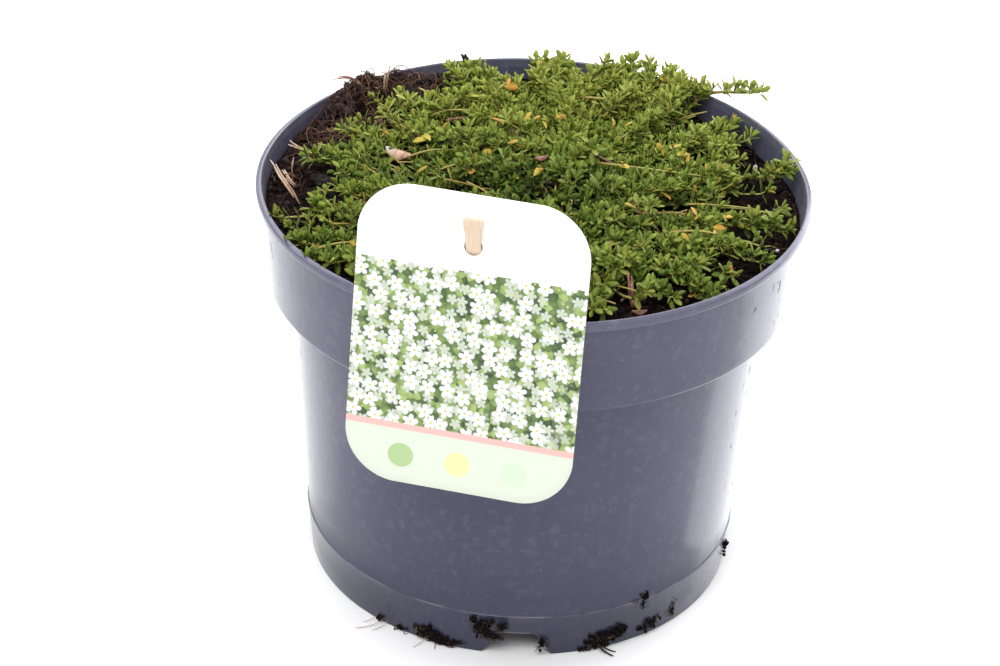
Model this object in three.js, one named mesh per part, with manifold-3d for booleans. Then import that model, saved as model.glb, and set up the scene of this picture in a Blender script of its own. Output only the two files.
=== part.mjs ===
// Creeping thyme in a round nursery pot, with a printed card on a wooden stick.
// Millimetres, +Z up. The pot stands on its foot ring at z = 0.
import * as THREE from "three";
import { mergeVertices } from "three/addons/utils/BufferGeometryUtils.js";
import Module from "manifold-3d";

const wasm = await Module();
wasm.setup();

// The pot: a 19 cm round container, one thin moulding. Radii are to the outer face.
const POT = {
  height: 145,
  wall: 1.3,
  lipRadius: 95,
  lipHeight: 3.2,
  lipInner: 93.5,
  collarTop: 93.6,
  collarBottom: 90.5,
  collarHeight: 35.3,
  skirt: 0.7,
  bodyTop: 82.7,
  bodyBottom: 75.9,
  footTop: 76.3,
  footBottom: 74.5,
  footHeight: 17.1,
  baseHeight: 9.3,
  baseThickness: 1.5,
  segments: 48,
};
const NOTCH = { count: 4, turn: 1.1, height: 8.8, topWidth: 11, bottomWidth: 22, depth: 8 };
const DRAIN = { count: 6, circle: 50, radius: 5 };

// The compost: filled to a little under the lip. A loose heap of it lies against the back left.
const COMPOST = { level: 136.5, tilt: 0.02, gap: 0.4 };
const HEAP = { x: -60, y: 60, height: 8.5, spread: 7.5, foot: 15, gap: 0.3, reach: 90.5 };

// The woody limb of the crown runs from front to back; the trailing stems leave it on both sides.
const LIMB = { front: -60, back: 71, x: 8, sway: 4.5, radius: 1.7, rise: 2.4 };
const ROOT = { y: 14, radius: 3, depth: 13, drop: 1.2 };

// The trailing stems and the leaf pairs that they carry.
const STEM = { radius: 0.65, gap: 0.5, perSide: 18, sides: 4, steps: 8 };
const LEAVES = { span: 3.5, width: 1.25, thickness: 0.45, lift: 3.1, spacing: 11, first: 6 };

// How far the mat reaches from the pot's axis, as [azimuth in degrees, radius].
const REACH = [
  [-75, 84], [-62, 77], [-44, 88], [-33, 78], [-22, 82], [-8, 88], [2, 74], [12, 88], [22, 74],
  [33, 88], [45, 83], [60, 88], [75, 89], [95, 89], [108, 86], [120, 80], [132, 79], [146, 70],
  [158, 72], [168, 83], [180, 64], [193, 78], [205, 87], [220, 88], [240, 87], [285, 84],
];

// The sprig that climbs out of the mat and over the lip at the back right, as points in space.
const OVER_RIM = [
  [48.5, 62.5, 136.9], [54, 66.5, 141.5], [59, 69, 146],
  [65, 68.7, 147.6], [73.5, 64, 150], [80.4, 61.3, 152.5],
];

// The card: a white A7 plastic card that leans back on the lip, and the stick that carries it.
const CARD = {
  width: 76, height: 105, thickness: 0.5, corner: 18, azimuth: 12.2, lean: 6.5, roll: 0.5,
  below: 9, aside: 1.3, gap: 0.3, holeUp: 34.6, holeRadius: 3.65,
};
const STICK = {
  width: 5.5, thickness: 1.3, headWidth: 7.6, shoulder: 4, head: 10.8, top: 16.3, length: 103,
  lean: 21, clear: 0.35,
};

// Colours, as three.js takes them.
const COLOUR = {
  pot: 0x45454f, compost: 0x2a2220, wood: 0x6b4a35, stem: 0x9a8a3c, leaf: 0x6f8f33,
  card: 0xf4f4ee, stick: 0xd9bd94, straw: 0xc9ac7c, bark: 0x3a322f, dry: 0xb98f74,
};

const degrees = THREE.MathUtils.degToRad;

const part = new THREE.Group();

function addPiece(name, solid, colour, roughness) {
  const mesh = solid.getMesh();
  const geometry = new THREE.BufferGeometry();
  geometry.setAttribute("position", new THREE.BufferAttribute(mesh.vertProperties, 3));
  geometry.setIndex(new THREE.BufferAttribute(mesh.triVerts, 1));
  geometry.computeVertexNormals();
  const material = new THREE.MeshStandardMaterial({ color: colour, roughness, metalness: 0 });
  const piece = new THREE.Mesh(geometry, material);
  piece.name = name;
  part.add(piece);
}

// A closed three.js geometry as a solid. Triangles that have shrunk to a line are left out.
function solidOf(geometry) {
  const bare = geometry.clone();
  bare.deleteAttribute("normal");
  bare.deleteAttribute("uv");
  const merged = mergeVertices(bare, 1e-4);
  const corners = merged.index.array;
  const kept = [];
  for (let i = 0; i < corners.length; i += 3) {
    const [a, b, c] = [corners[i], corners[i + 1], corners[i + 2]];
    if (a !== b && b !== c && c !== a) kept.push(a, b, c);
  }
  const vertProperties = Float32Array.from(merged.attributes.position.array);
  const mesh = new wasm.Mesh({ numProp: 3, vertProperties, triVerts: Uint32Array.from(kept) });
  return new wasm.Manifold(mesh);
}

// A small repeatable variation from -0.5 to 0.5, for stem number i and quantity k.
function vary(i, k) {
  const s = Math.sin(i * 12.9898 + k * 78.233) * 43758.5453;
  return s - Math.floor(s) - 0.5;
}

// The height of the compost at a place, measured from the floor, without the heap.
function bed(x, y) {
  const crumbs = 0.5 * Math.sin(0.21 * x + 0.4) * Math.cos(0.17 * y - 0.9)
    + 0.35 * Math.sin(0.33 * x - 0.27 * y + 2);
  return COMPOST.level - COMPOST.tilt * x + crumbs;
}

// The same with the heap on it, which is what the stems and the litter lie on.
function ground(x, y) {
  const away = (x - HEAP.x) ** 2 + (y - HEAP.y) ** 2;
  return bed(x, y) + HEAP.height * Math.exp(-away / (2 * HEAP.spread ** 2));
}

// The mat's radius at an azimuth, from the straight lines between REACH's points.
function reach(azimuth) {
  let i = 1;
  while (REACH[i][0] < azimuth) i += 1;
  const [a0, r0] = REACH[i - 1];
  const [a1, r1] = REACH[i];
  return r0 + (r1 - r0) * (azimuth - a0) / (a1 - a0);
}

// A profile of [radius, height] points turned round the pot's axis.
function turned(profile, segments = POT.segments) {
  const points = profile.map(([r, z]) => new THREE.Vector2(r, z));
  return new THREE.LatheGeometry(points, segments).rotateX(Math.PI / 2);
}

// A round rod along a curve, with as many sides as asked.
function rod(curve, radius, sides, steps) {
  const section = new THREE.Shape();
  for (let i = 0; i < sides; i += 1) {
    const a = 2 * Math.PI * i / sides;
    const [x, y] = [radius * Math.cos(a), radius * Math.sin(a)];
    if (i === 0) section.moveTo(x, y);
    else section.lineTo(x, y);
  }
  return new THREE.ExtrudeGeometry(section, { steps, extrudePath: curve, bevelEnabled: false });
}

// The pot. One moulding: foot ring, raised base, tapered body, shelf, collar and rolled lip.
function potSolid() {
  const { height, wall } = POT;
  const shelf = height - POT.collarHeight;
  const lipBottom = height - POT.lipHeight;
  const baseTop = POT.baseHeight + POT.baseThickness;
  const profile = [
    [0, POT.baseHeight],
    [72.9, POT.baseHeight],
    [POT.footBottom - 1.4, 0],
    [POT.footBottom, 0],
    [POT.footTop, POT.footHeight],
    [POT.bodyBottom, POT.footHeight],
    [POT.bodyTop, shelf + POT.skirt],
    [POT.collarBottom - wall, shelf + POT.skirt],
    [POT.collarBottom - wall, shelf],
    [POT.collarBottom, shelf],
    [POT.collarTop, lipBottom],
    [POT.lipRadius - 0.2, lipBottom],
    [POT.lipRadius, lipBottom + 0.5],
    [POT.lipRadius, height - 0.9],
    [POT.lipRadius - 0.5, height - 0.2],
    [POT.lipRadius - 1, height],
    [POT.lipInner, height - 0.2],
    [POT.collarTop - wall, lipBottom - 0.2],
    [POT.collarBottom - wall, shelf + 2],
    [POT.bodyTop - wall, shelf + 2],
    [POT.bodyBottom - wall, POT.footHeight],
    [POT.bodyBottom - wall - 1, baseTop],
    [0, baseTop],
  ];
  let pot = solidOf(turned(profile));
  const outline = new THREE.Shape([
    new THREE.Vector2(-NOTCH.bottomWidth / 2, -1),
    new THREE.Vector2(NOTCH.bottomWidth / 2, -1),
    new THREE.Vector2(NOTCH.topWidth / 2, NOTCH.height),
    new THREE.Vector2(-NOTCH.topWidth / 2, NOTCH.height),
  ]);
  for (let i = 0; i < NOTCH.count; i += 1) {
    const cut = new THREE.ExtrudeGeometry(outline, { depth: NOTCH.depth, bevelEnabled: false });
    cut.rotateX(Math.PI / 2);
    cut.translate(0, POT.footBottom + NOTCH.depth / 2, 0);
    cut.rotateZ(2 * Math.PI * i / NOTCH.count + degrees(NOTCH.turn));
    pot = pot.subtract(solidOf(cut));
  }
  for (let i = 0; i <= DRAIN.count; i += 1) {
    const hole = new THREE.CylinderGeometry(DRAIN.radius, DRAIN.radius, 6, 12).rotateX(Math.PI / 2);
    const a = 2 * Math.PI * i / DRAIN.count + degrees(30);
    const out = i === DRAIN.count ? 0 : DRAIN.circle;
    hole.translate(out * Math.cos(a), out * Math.sin(a), POT.baseHeight);
    pot = pot.subtract(solidOf(hole));
  }
  return pot;
}

// The compost follows the inside of the pot with a small gap. Its top is uneven, and raised as asked.
function compostSolid(raise) {
  const { wall } = POT;
  const { gap } = COMPOST;
  const shelf = POT.height - POT.collarHeight + 2;
  const baseTop = POT.baseHeight + POT.baseThickness;
  const rings = [82, 72, 61, 49, 36, 22];
  const profile = [
    [0, baseTop + gap],
    [POT.bodyBottom - wall - 1.1 - gap, baseTop + gap],
    [POT.bodyBottom - wall - gap, POT.footHeight],
    [POT.bodyTop - wall - gap, shelf + gap],
    [POT.collarBottom - wall - gap, shelf + gap],
    [POT.collarBottom - wall - gap + 2.4, COMPOST.level],
    ...rings.map((r) => [r, COMPOST.level]),
    [0, COMPOST.level],
  ];
  const geometry = turned(profile);
  const place = geometry.attributes.position;
  for (let i = 0; i < place.count; i += 1) {
    if (place.getZ(i) > COMPOST.level - 0.01) {
      place.setZ(i, bed(place.getX(i), place.getY(i)) + raise);
    }
  }
  return solidOf(geometry);
}

// The heap: a low dome of loose compost on the bed, cut off where the pot's wall holds it.
function heapSolid() {
  const dome = turned([[0, 0], [HEAP.foot, 0], [HEAP.foot, 1], [10, 1], [6, 1], [3, 1], [0, 1]], 20);
  const place = dome.attributes.position;
  for (let i = 0; i < place.count; i += 1) {
    const [x, y] = [place.getX(i) + HEAP.x, place.getY(i) + HEAP.y];
    const top = place.getZ(i) > 0.5;
    place.setXYZ(i, x, y, top ? ground(x, y) : bed(x, y) - 1);
  }
  const inside = new THREE.CylinderGeometry(HEAP.reach, HEAP.reach, 60, 48).rotateX(Math.PI / 2);
  const cut = solidOf(dome).intersect(solidOf(inside.translate(0, 0, COMPOST.level)));
  return cut.subtract(compostSolid(HEAP.gap));
}

// The crown: an old woody limb lying on the compost, on a short root stock that goes into it.
const limbX = (y) => LIMB.x + LIMB.sway * Math.sin((y + 10) / 26);
const limbPoint = (y) => new THREE.Vector3(limbX(y), y, ground(limbX(y), y) + LIMB.rise);

function rootStock(grow) {
  const depth = ROOT.depth + grow;
  const stock = new THREE.CylinderGeometry(ROOT.radius + grow, ROOT.radius * 0.7 + grow, depth, 10);
  const top = limbPoint(ROOT.y);
  return stock.rotateX(Math.PI / 2).translate(top.x, top.y, top.z - ROOT.drop - depth / 2);
}

function crownSolid() {
  const points = [];
  const spans = 9;
  for (let i = 0; i <= spans; i += 1) {
    points.push(limbPoint(LIMB.front + (LIMB.back - LIMB.front) * i / spans));
  }
  const limb = rod(new THREE.CatmullRomCurve3(points), LIMB.radius, 6, 26);
  return solidOf(limb).add(solidOf(rootStock(0)));
}

// A pair of leaves as one thin body across the stem, its two tips lifted.
function leafPair(curve, t, span) {
  const leaf = new THREE.OctahedronGeometry(1);
  const place = leaf.attributes.position;
  for (let i = 0; i < place.count; i += 1) {
    const lift = Math.abs(place.getX(i)) > 0.5 ? LEAVES.lift : 0;
    place.setXYZ(
      i,
      place.getX(i) * span,
      place.getY(i) * LEAVES.width,
      place.getZ(i) * LEAVES.thickness + lift,
    );
  }
  const along = curve.getTangentAt(t);
  const across = new THREE.Vector3().crossVectors(along, new THREE.Vector3(0, 0, 1)).normalize();
  const up = new THREE.Vector3().crossVectors(across, along);
  const frame = new THREE.Matrix4().makeBasis(across, along, up);
  frame.setPosition(curve.getPointAt(t));
  return solidOf(leaf.applyMatrix4(frame));
}

// A trailing stem along a curve, with a pair of leaves at every joint of the stem.
function addStem(name, curve, span = LEAVES.span) {
  let stem = solidOf(rod(curve, STEM.radius, STEM.sides, STEM.steps));
  const length = curve.getLength();
  const pairs = Math.max(2, Math.round((length - LEAVES.first) / LEAVES.spacing));
  for (let i = 0; i <= pairs; i += 1) {
    const at = LEAVES.first + (length - LEAVES.first - 1) * i / pairs;
    stem = stem.add(leafPair(curve, at / length, span));
  }
  addPiece(name, stem, COLOUR.leaf, 0.6);
}

// The curve of a stem that leaves the limb at (x0, y0) and trails over the compost to (x1, y1).
function trail(x0, y0, x1, y1, lift) {
  const heights = [LIMB.rise, 3.1 + lift, 3.4 + lift, 3.8 + lift, 5.2 + lift];
  const [bendX, bendY] = [x0 + 0.6 * (x1 - x0), y0 + 0.15 * (y1 - y0)];
  const points = heights.map((height, i) => {
    const t = i / (heights.length - 1);
    const x = (1 - t) ** 2 * x0 + 2 * t * (1 - t) * bendX + t ** 2 * x1;
    const y = (1 - t) ** 2 * y0 + 2 * t * (1 - t) * bendY + t ** 2 * y1;
    return new THREE.Vector3(x, y, ground(x, y) + height);
  });
  return new THREE.CatmullRomCurve3(points);
}

// One side of the mat: stems leave the limb one after another and fan out to the mat's edge.
function addSide(side, first, last, sign, offset) {
  for (let i = 0; i < STEM.perSide; i += 1) {
    const share = i / (STEM.perSide - 1);
    const y0 = LIMB.back - offset + share * (LIMB.front - LIMB.back + 2 * offset);
    const x0 = limbX(y0) + sign * (LIMB.radius + STEM.gap);
    const azimuth = first + share * (last - first) + 1.5 * vary(i, sign);
    const radius = reach(azimuth);
    const x1 = radius * Math.cos(degrees(azimuth));
    const y1 = radius * Math.sin(degrees(azimuth));
    const lift = 0.6 + 0.8 * vary(i, 5 + sign);
    const number = String(i + 1).padStart(2, "0");
    addStem(`thyme_stem_${side}_${number}`, trail(x0, y0, x1, y1, lift));
  }
}

// The card, flat and upright with its centre at the origin, facing -Y, then set on the lip.
function setOnLip(geometry) {
  geometry.translate(CARD.aside, 0, -CARD.below);
  geometry.rotateY(degrees(CARD.roll));
  geometry.rotateX(degrees(-CARD.lean));
  geometry.translate(0, -(POT.lipRadius + CARD.gap + 0.4), POT.height);
  return geometry.rotateZ(degrees(-CARD.azimuth));
}

function cardSolid() {
  const [w, h, c] = [CARD.width / 2, CARD.height / 2, CARD.corner];
  const outline = new THREE.Shape();
  outline.moveTo(w, h - c);
  outline.absarc(w - c, h - c, c, 0, Math.PI / 2, false);
  outline.absarc(c - w, h - c, c, Math.PI / 2, Math.PI, false);
  outline.absarc(c - w, c - h, c, Math.PI, 1.5 * Math.PI, false);
  outline.absarc(w - c, c - h, c, 1.5 * Math.PI, 2 * Math.PI, false);
  const hole = new THREE.Path().absarc(0, CARD.holeUp, CARD.holeRadius, 0, 2 * Math.PI, true);
  outline.holes.push(hole);
  const settings = { depth: CARD.thickness, curveSegments: 8, bevelEnabled: false };
  const sheet = new THREE.ExtrudeGeometry(outline, settings).rotateX(Math.PI / 2);
  return solidOf(setOnLip(sheet));
}

// The stick, flat in its own frame with the card's hole at its origin, leaning out through the
// hole. Grown by a little, it is the slot that it makes in the compost.
function stickSolid(grow) {
  const { shoulder, head, top } = STICK;
  const neck = STICK.width / 2 + grow;
  const wide = STICK.headWidth / 2 + grow;
  const low = top - STICK.length - grow;
  const right = [
    [neck * 0.6, low], [neck, low + 6], [neck, shoulder], [wide, head], [wide, top - 1], [wide - 1, top],
  ];
  const left = right.map(([x, y]) => [-x, y]).reverse();
  const outline = new THREE.Shape([...right, ...left].map(([x, y]) => new THREE.Vector2(x, y)));
  const depth = STICK.thickness + 2 * grow;
  const stick = new THREE.ExtrudeGeometry(outline, { depth, bevelEnabled: false });
  stick.translate(0, 0, -depth / 2).rotateX(Math.PI / 2);
  stick.rotateX(degrees(STICK.lean)).rotateZ(degrees(-CARD.azimuth));
  const middle = new THREE.Vector3(0, -CARD.thickness / 2, CARD.holeUp);
  const hole = setOnLip(new THREE.BufferGeometry().setFromPoints([middle])).attributes.position;
  stick.translate(hole.getX(0), hole.getY(0), hole.getZ(0));
  return solidOf(stick);
}

// Loose litter: thin dry rods through a few points, given as [x, y, height over the compost].
function addLitter(name, points, radius, colour, sides = 5) {
  const curve = new THREE.CatmullRomCurve3(
    points.map(([x, y, height]) => new THREE.Vector3(x, y, ground(x, y) + height)),
  );
  addPiece(name, solidOf(rod(curve, radius, sides, 6)), colour, 0.8);
}

// A flat dry flake lying on the compost, as a squashed ball of [length, width, thickness] halves.
function addFlake(name, x, y, height, halves, turn, colour) {
  const flake = new THREE.SphereGeometry(1, 8, 5).scale(...halves).rotateZ(degrees(turn));
  addPiece(name, solidOf(flake.translate(x, y, ground(x, y) + height)), colour, 0.8);
}

addPiece("pot", potSolid(), COLOUR.pot, 0.45);
addPiece(
  "compost",
  compostSolid(0).subtract(stickSolid(STICK.clear)).subtract(solidOf(rootStock(STICK.clear))),
  COLOUR.compost,
  0.95,
);
addPiece("compost_heap", heapSolid(), COLOUR.compost, 0.95);
addPiece("thyme_crown", crownSolid(), COLOUR.wood, 0.85);
addSide("right", 74, -73, 1, 3);
addSide("left", 106, 248, -1, 5);
addStem("thyme_stem_front_1", trail(2.4, LIMB.front - 0.8, -3, -85, 0.5));
addStem("thyme_stem_front_2", trail(5.4, LIMB.front - 0.8, 12, -85, 0.5));
addStem("thyme_stem_over_rim", new THREE.CatmullRomCurve3(OVER_RIM.map((p) => new THREE.Vector3(...p))));
addPiece("label_card", cardSolid(), COLOUR.card, 0.35);
addPiece("label_stick", stickSolid(0), COLOUR.stick, 0.7);
addLitter("straw_left_long", [[-79.5, -11, 1.3], [-86, 0.5, 2.9], [-91.3, 11, 5.4]], 0.8, COLOUR.straw);
addLitter("straw_left_short", [[-81, -2.5, 1], [-84, 2.5, 1.4], [-87.5, 9, 1.4]], 0.55, COLOUR.straw);
addLitter("straw_back_left", [[-79, 26.5, 1], [-83.5, 26.2, 2.6], [-87.3, 25.6, 5.2]], 0.6, COLOUR.straw);
addLitter("straw_in_heap", [[-55, 61, 0.35], [-54.6, 61.5, 6], [-54, 62.5, 13]], 0.55, COLOUR.straw);
addLitter(
  "twig_at_back",
  [[-21.5, 83.5, 1.2], [-25, 86.5, 4.2], [-27, 88.3, 8.5], [-30.5, 87, 13]],
  0.8,
  COLOUR.bark,
);
addLitter("dry_stub_front", [[34, -66, 0.15], [33.4, -65, 5], [32.4, -62, 12]], 0.95, COLOUR.dry);

addFlake("dry_leaf_at_back", -47.5, 18, 1.9, [6.2, 3, 0.7], -34, COLOUR.dry);
addFlake("bark_chip_left", -72.5, 3.5, 1.7, [3.4, 2.2, 1.3], -30, COLOUR.bark);

// The part's origin is at the centre of its box, on the surface that it stands on.
const box = new THREE.Box3().setFromObject(part);
part.position.set(-(box.min.x + box.max.x) / 2, -(box.min.y + box.max.y) / 2, -box.min.z);

export default part;
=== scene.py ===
import math

import bpy
import numpy as np
from mathutils import Matrix, Vector


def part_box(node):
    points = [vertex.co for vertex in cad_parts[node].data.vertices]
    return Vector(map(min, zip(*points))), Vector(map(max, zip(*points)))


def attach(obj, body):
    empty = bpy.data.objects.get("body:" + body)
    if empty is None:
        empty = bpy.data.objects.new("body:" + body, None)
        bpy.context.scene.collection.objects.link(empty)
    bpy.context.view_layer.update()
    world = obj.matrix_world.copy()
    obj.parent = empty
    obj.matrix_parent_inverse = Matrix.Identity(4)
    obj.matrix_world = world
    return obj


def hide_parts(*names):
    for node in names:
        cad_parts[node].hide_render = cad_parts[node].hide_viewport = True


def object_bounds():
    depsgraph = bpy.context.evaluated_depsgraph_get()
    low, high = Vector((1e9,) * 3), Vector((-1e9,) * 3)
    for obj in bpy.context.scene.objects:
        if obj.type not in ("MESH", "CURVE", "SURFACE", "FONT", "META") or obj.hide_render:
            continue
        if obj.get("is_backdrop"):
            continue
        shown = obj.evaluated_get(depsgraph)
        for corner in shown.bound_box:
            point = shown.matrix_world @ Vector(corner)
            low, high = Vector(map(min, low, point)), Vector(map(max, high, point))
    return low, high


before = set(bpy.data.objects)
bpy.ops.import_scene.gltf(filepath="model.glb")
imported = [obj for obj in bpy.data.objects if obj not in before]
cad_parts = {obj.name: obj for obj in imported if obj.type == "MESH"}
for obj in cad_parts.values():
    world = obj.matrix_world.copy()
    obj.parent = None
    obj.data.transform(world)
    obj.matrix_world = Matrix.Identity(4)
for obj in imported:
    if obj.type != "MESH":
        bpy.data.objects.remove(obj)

# Creeping thyme in a round nursery pot, with a printed card on a wooden stick. Shapes are worked out
# in millimetres from the foot of the pot's axis, +Z up, and stored in metres.
MM = 0.001
cad_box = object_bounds()
pot_low, pot_high = (np.array(corner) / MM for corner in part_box("pot"))
axis = np.append((pot_low[:2] + pot_high[:2]) / 2, 0)
rim = pot_high[2]
full_turn = 2 * math.pi


# The room: a wide pale floor that the pot stands on, soft white surroundings, and a camera that looks
# down on the pot from the front with a long lens, turned a little to one side.
def add_mesh(name, points, *blocks):
    """A smooth mesh object of points (n, 3) from the pot's axis and blocks of faces, each (m, corners)
    of point numbers. Faces that enclose a negative volume, a sum of corner products, are turned round."""
    points = np.asarray(points, float) + axis
    fans = [np.stack([b[:, [0] * (b.shape[1] - 2)], b[:, 1:-1], b[:, 2:]], -1) for b in blocks]
    a, b, c = points[np.concatenate([fan.reshape(-1, 3) for fan in fans])].transpose(1, 0, 2)
    if np.einsum("ij,ij->", a, np.cross(b, c)) < 0:
        blocks = [block[:, ::-1] for block in blocks]
    corners = np.concatenate([block.ravel() for block in blocks])
    sizes = np.concatenate([np.full(len(block), block.shape[1]) for block in blocks])
    mesh = bpy.data.meshes.new(name)
    mesh.vertices.add(len(points))
    mesh.vertices.foreach_set("co", (points * MM).ravel())
    mesh.loops.add(len(corners))
    mesh.loops.foreach_set("vertex_index", corners)
    mesh.polygons.add(len(sizes))
    mesh.polygons.foreach_set("loop_start", np.cumsum(sizes) - sizes)
    mesh.polygons.foreach_set("use_smooth", np.ones(len(sizes), bool))
    mesh.update(calc_edges=True)
    piece = bpy.data.objects.new(name, mesh)
    bpy.context.scene.collection.objects.link(piece)
    return piece


class Wire:
    """An output socket in a material. Arithmetic on wires and numbers adds Math nodes."""

    def __init__(self, tree, socket=None):
        self.tree = tree
        self.socket = socket

    def node(self, kind, settings, inputs, out=0):
        """Any other node, from its type, its settings, and the values or wires of its sockets."""
        made = self.tree.nodes.new(kind)
        for key, value in settings.items():
            if key != "stops":
                setattr(made, key, value)
                continue
            stops = made.color_ramp.elements
            stops[0].position, stops[1].position = value[0][0], value[-1][0]
            for place, _ in value[1:-1]:
                stops.new(place)
            for stop, (_, colour) in zip(stops, value):
                stop.color = (*colour, 1)
        for key, value in inputs.items():
            if isinstance(value, Wire):
                self.tree.links.new(value.socket, made.inputs[key])
            else:
                made.inputs[key].default_value = value
        return Wire(self.tree, made.outputs[out])

    def math(self, operation, a, b=0.0):
        return self.node("ShaderNodeMath", {"operation": operation}, {0: a, 1: b})

    def output(self, out):
        """Another output of the same node."""
        return Wire(self.tree, self.socket.node.outputs[out])

    def __add__(self, other):
        return self.math("ADD", self, other)

    def __sub__(self, other):
        return self.math("SUBTRACT", self, other)

    def __rsub__(self, other):
        return self.math("SUBTRACT", other, self)

    def __mul__(self, other):
        return self.math("MULTIPLY", self, other)

    def __pow__(self, other):
        return self.math("POWER", self, other)

    __radd__, __rmul__ = __add__, __mul__

    def rise(self, low, high):
        """0 below low and 1 above high, smooth between. With low above high it falls."""
        settings = {"interpolation_type": "SMOOTHSTEP"}
        return self.node("ShaderNodeMapRange", settings, {"Value": self, "From Min": low, "From Max": high})

    def mix(self, first, second):
        """The first colour where this wire is 0, the second where it is 1."""
        colours = [c if isinstance(c, Wire) else (*c, 1) for c in (first, second)]
        inputs = {0: self, 6: colours[0], 7: colours[1]}
        return self.node("ShaderNodeMix", {"data_type": "RGBA"}, inputs, 2)

    def ramp(self, *stops):
        """A colour by this wire's value, blended between stops, each a value and a colour."""
        return self.node("ShaderNodeValToRGB", {"stops": stops}, {"Fac": self})

    def places(self):
        """Object coordinates."""
        return self.node("ShaderNodeTexCoord", {}, {}, 3)

    def parts(self, colour):
        """The channels of a colour, as outputs 0 to 2."""
        return self.node("ShaderNodeSeparateColor", {}, {"Color": colour})

    def feed(self, shader, socket):
        self.tree.links.new(self.socket, shader.inputs[socket])

    def emboss(self, shader, strength, depth):
        """Bump with this wire as its height, so strong and so many metres deep."""
        inputs = {"Height": self, "Strength": strength, "Distance": depth}
        self.node("ShaderNodeBump", {}, inputs).feed(shader, "Normal")


def new_finish(name, **constants):
    """A material, its Principled shader with the given constant sockets, and a wire to start from."""
    material = bpy.data.materials.new(name)
    material.use_nodes = True
    shader = material.node_tree.nodes["Principled BSDF"]
    for socket, value in constants.items():
        shader.inputs[socket.replace("_", " ")].default_value = value
    return material, shader, Wire(material.node_tree)


floor_half = 4000
corners = np.array([[-1, -1, 0], [1, -1, 0], [1, 1, 0], [-1, 1, 0]]) * floor_half
ground_plane = add_mesh("floor", corners - axis, np.array([[0, 1, 2, 3]]))
paper, shader, pen = new_finish("pale_paper", Roughness=0.9)
grain = pen.node("ShaderNodeTexNoise", {}, {"Vector": pen.places(), "Scale": 3.0})
grain.mix((0.78, 0.78, 0.785), (0.8, 0.8, 0.805)).feed(shader, "Base Color")
ground_plane.data.materials.append(paper)
ground_plane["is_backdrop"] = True

world = bpy.data.worlds.new("studio")
bpy.context.scene.world = world
world.use_nodes = True
world.node_tree.nodes["Background"].inputs["Color"].default_value = (1, 1, 1, 1)
world.node_tree.nodes["Background"].inputs["Strength"].default_value = 0.67
bpy.context.scene.view_settings.view_transform = "Standard"


def add_softbox(name, place, aim, size, watts, turn=0):
    """A square area light at a place, facing another, both in millimetres from the pot's foot, and
    turned about its own middle in degrees."""
    lamp = bpy.data.lights.new(name, "AREA")
    lamp.size = size * MM
    lamp.energy = watts
    light = bpy.data.objects.new(name, lamp)
    facing = (Vector(aim) - Vector(place)).to_track_quat("-Z", "Y").to_matrix().to_4x4()
    spin = Matrix.Rotation(math.radians(turn), 4, "Z")
    light.matrix_world = Matrix.Translation(Vector(place) * MM) @ facing @ spin
    light.visible_camera = False
    bpy.context.scene.collection.objects.link(light)


# The key stands high in front. Two are at the sides behind, two glow up from the table behind the pot,
# and the last lights the floor further back.
pot_middle = (0, 0, 90)
add_softbox("key", (-300, -800, 1500), pot_middle, 1200, 28)
add_softbox("left_side", (-800, 770, 350), pot_middle, 640, 1.0)
add_softbox("right_side", (850, 740, 350), pot_middle, 700, 10)
add_softbox("table_right", (222, 240, 3), (222, 240, 100), 430, 0.66, -20)
add_softbox("table_left", (-180, 255, 3), (-180, 255, 100), 400, 0.12, 30)
add_softbox("backdrop", (0, 1100, 800), (0, 1100, 0), 1600, 26)

eye = axis + [0, -1022.65, 704.3]
pan, tilt, roll = (math.radians(a) for a in (0.533, -31.24, 2.467))
camera = bpy.data.objects.new("camera", bpy.data.cameras.new("camera"))
camera.data.lens = 122.8
camera.data.sensor_width = 36
camera.data.clip_end = 100
camera.matrix_world = (
    Matrix.Translation(eye * MM)
    @ Matrix.Rotation(pan, 4, "Z")
    @ Matrix.Rotation(math.pi / 2 + tilt, 4, "X")
    @ Matrix.Rotation(roll, 4, "Z")
)
bpy.context.scene.collection.objects.link(camera)
bpy.context.scene.camera = camera


# The pot: a thin round container, injection moulded in one piece of dark polypropylene. It has a rolled
# lip, a tall collar on a shelf, a tapered body, a seam above the foot, and a foot ring with drain notches.
shelf = rim - 35.3
lip_foot = rim - 3.2
seam = 17.1
base_under, base_top = 9.3, 10.8
foot_radius, foot_inside = 74.5, 73.15
notch_top, notch_foot, notch_rise = 5.0, 12.3, 8.8
notch_turn = math.radians(1.1)


def arc(centre, radius, start, end, steps=4):
    """Points [r, z] on a circle about a centre, from one angle to another in degrees."""
    a = np.radians(np.linspace(start, end, steps + 1))
    return np.c_[centre[0] + radius * np.cos(a), centre[1] + radius * np.sin(a)]


def spaced(profile, longest):
    """A profile with points added so that none of its spans is longer than asked."""
    counts = np.ceil(np.linalg.norm(np.diff(profile, axis=0), axis=1) / longest).astype(int)
    shares = np.concatenate([k + np.arange(n) / n for k, n in enumerate(np.maximum(counts, 1))])
    places = np.append(shares, len(profile) - 1)
    return np.c_[[np.interp(places, np.arange(len(profile)), profile[:, k]) for k in (0, 1)]].T


def carried_round(radius, height, around):
    """Rings of points (rows, columns, 3): a profile's radii and heights carried round the pot's axis."""
    return np.stack(np.broadcast_arrays(radius * np.cos(around), radius * np.sin(around), height), -1)


def grid_faces(rows, columns, closed=False):
    """Quads between neighbouring rows of a grid of points whose columns, and rows if closed, join up."""
    r = np.arange(rows if closed else rows - 1)[:, None]
    c = np.arange(columns)[None, :]
    here, there = r * columns, (r + 1) % rows * columns
    quads = np.stack([here + c, here + (c + 1) % columns, there + (c + 1) % columns, there + c], -1)
    return quads.reshape(-1, 4)


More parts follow.
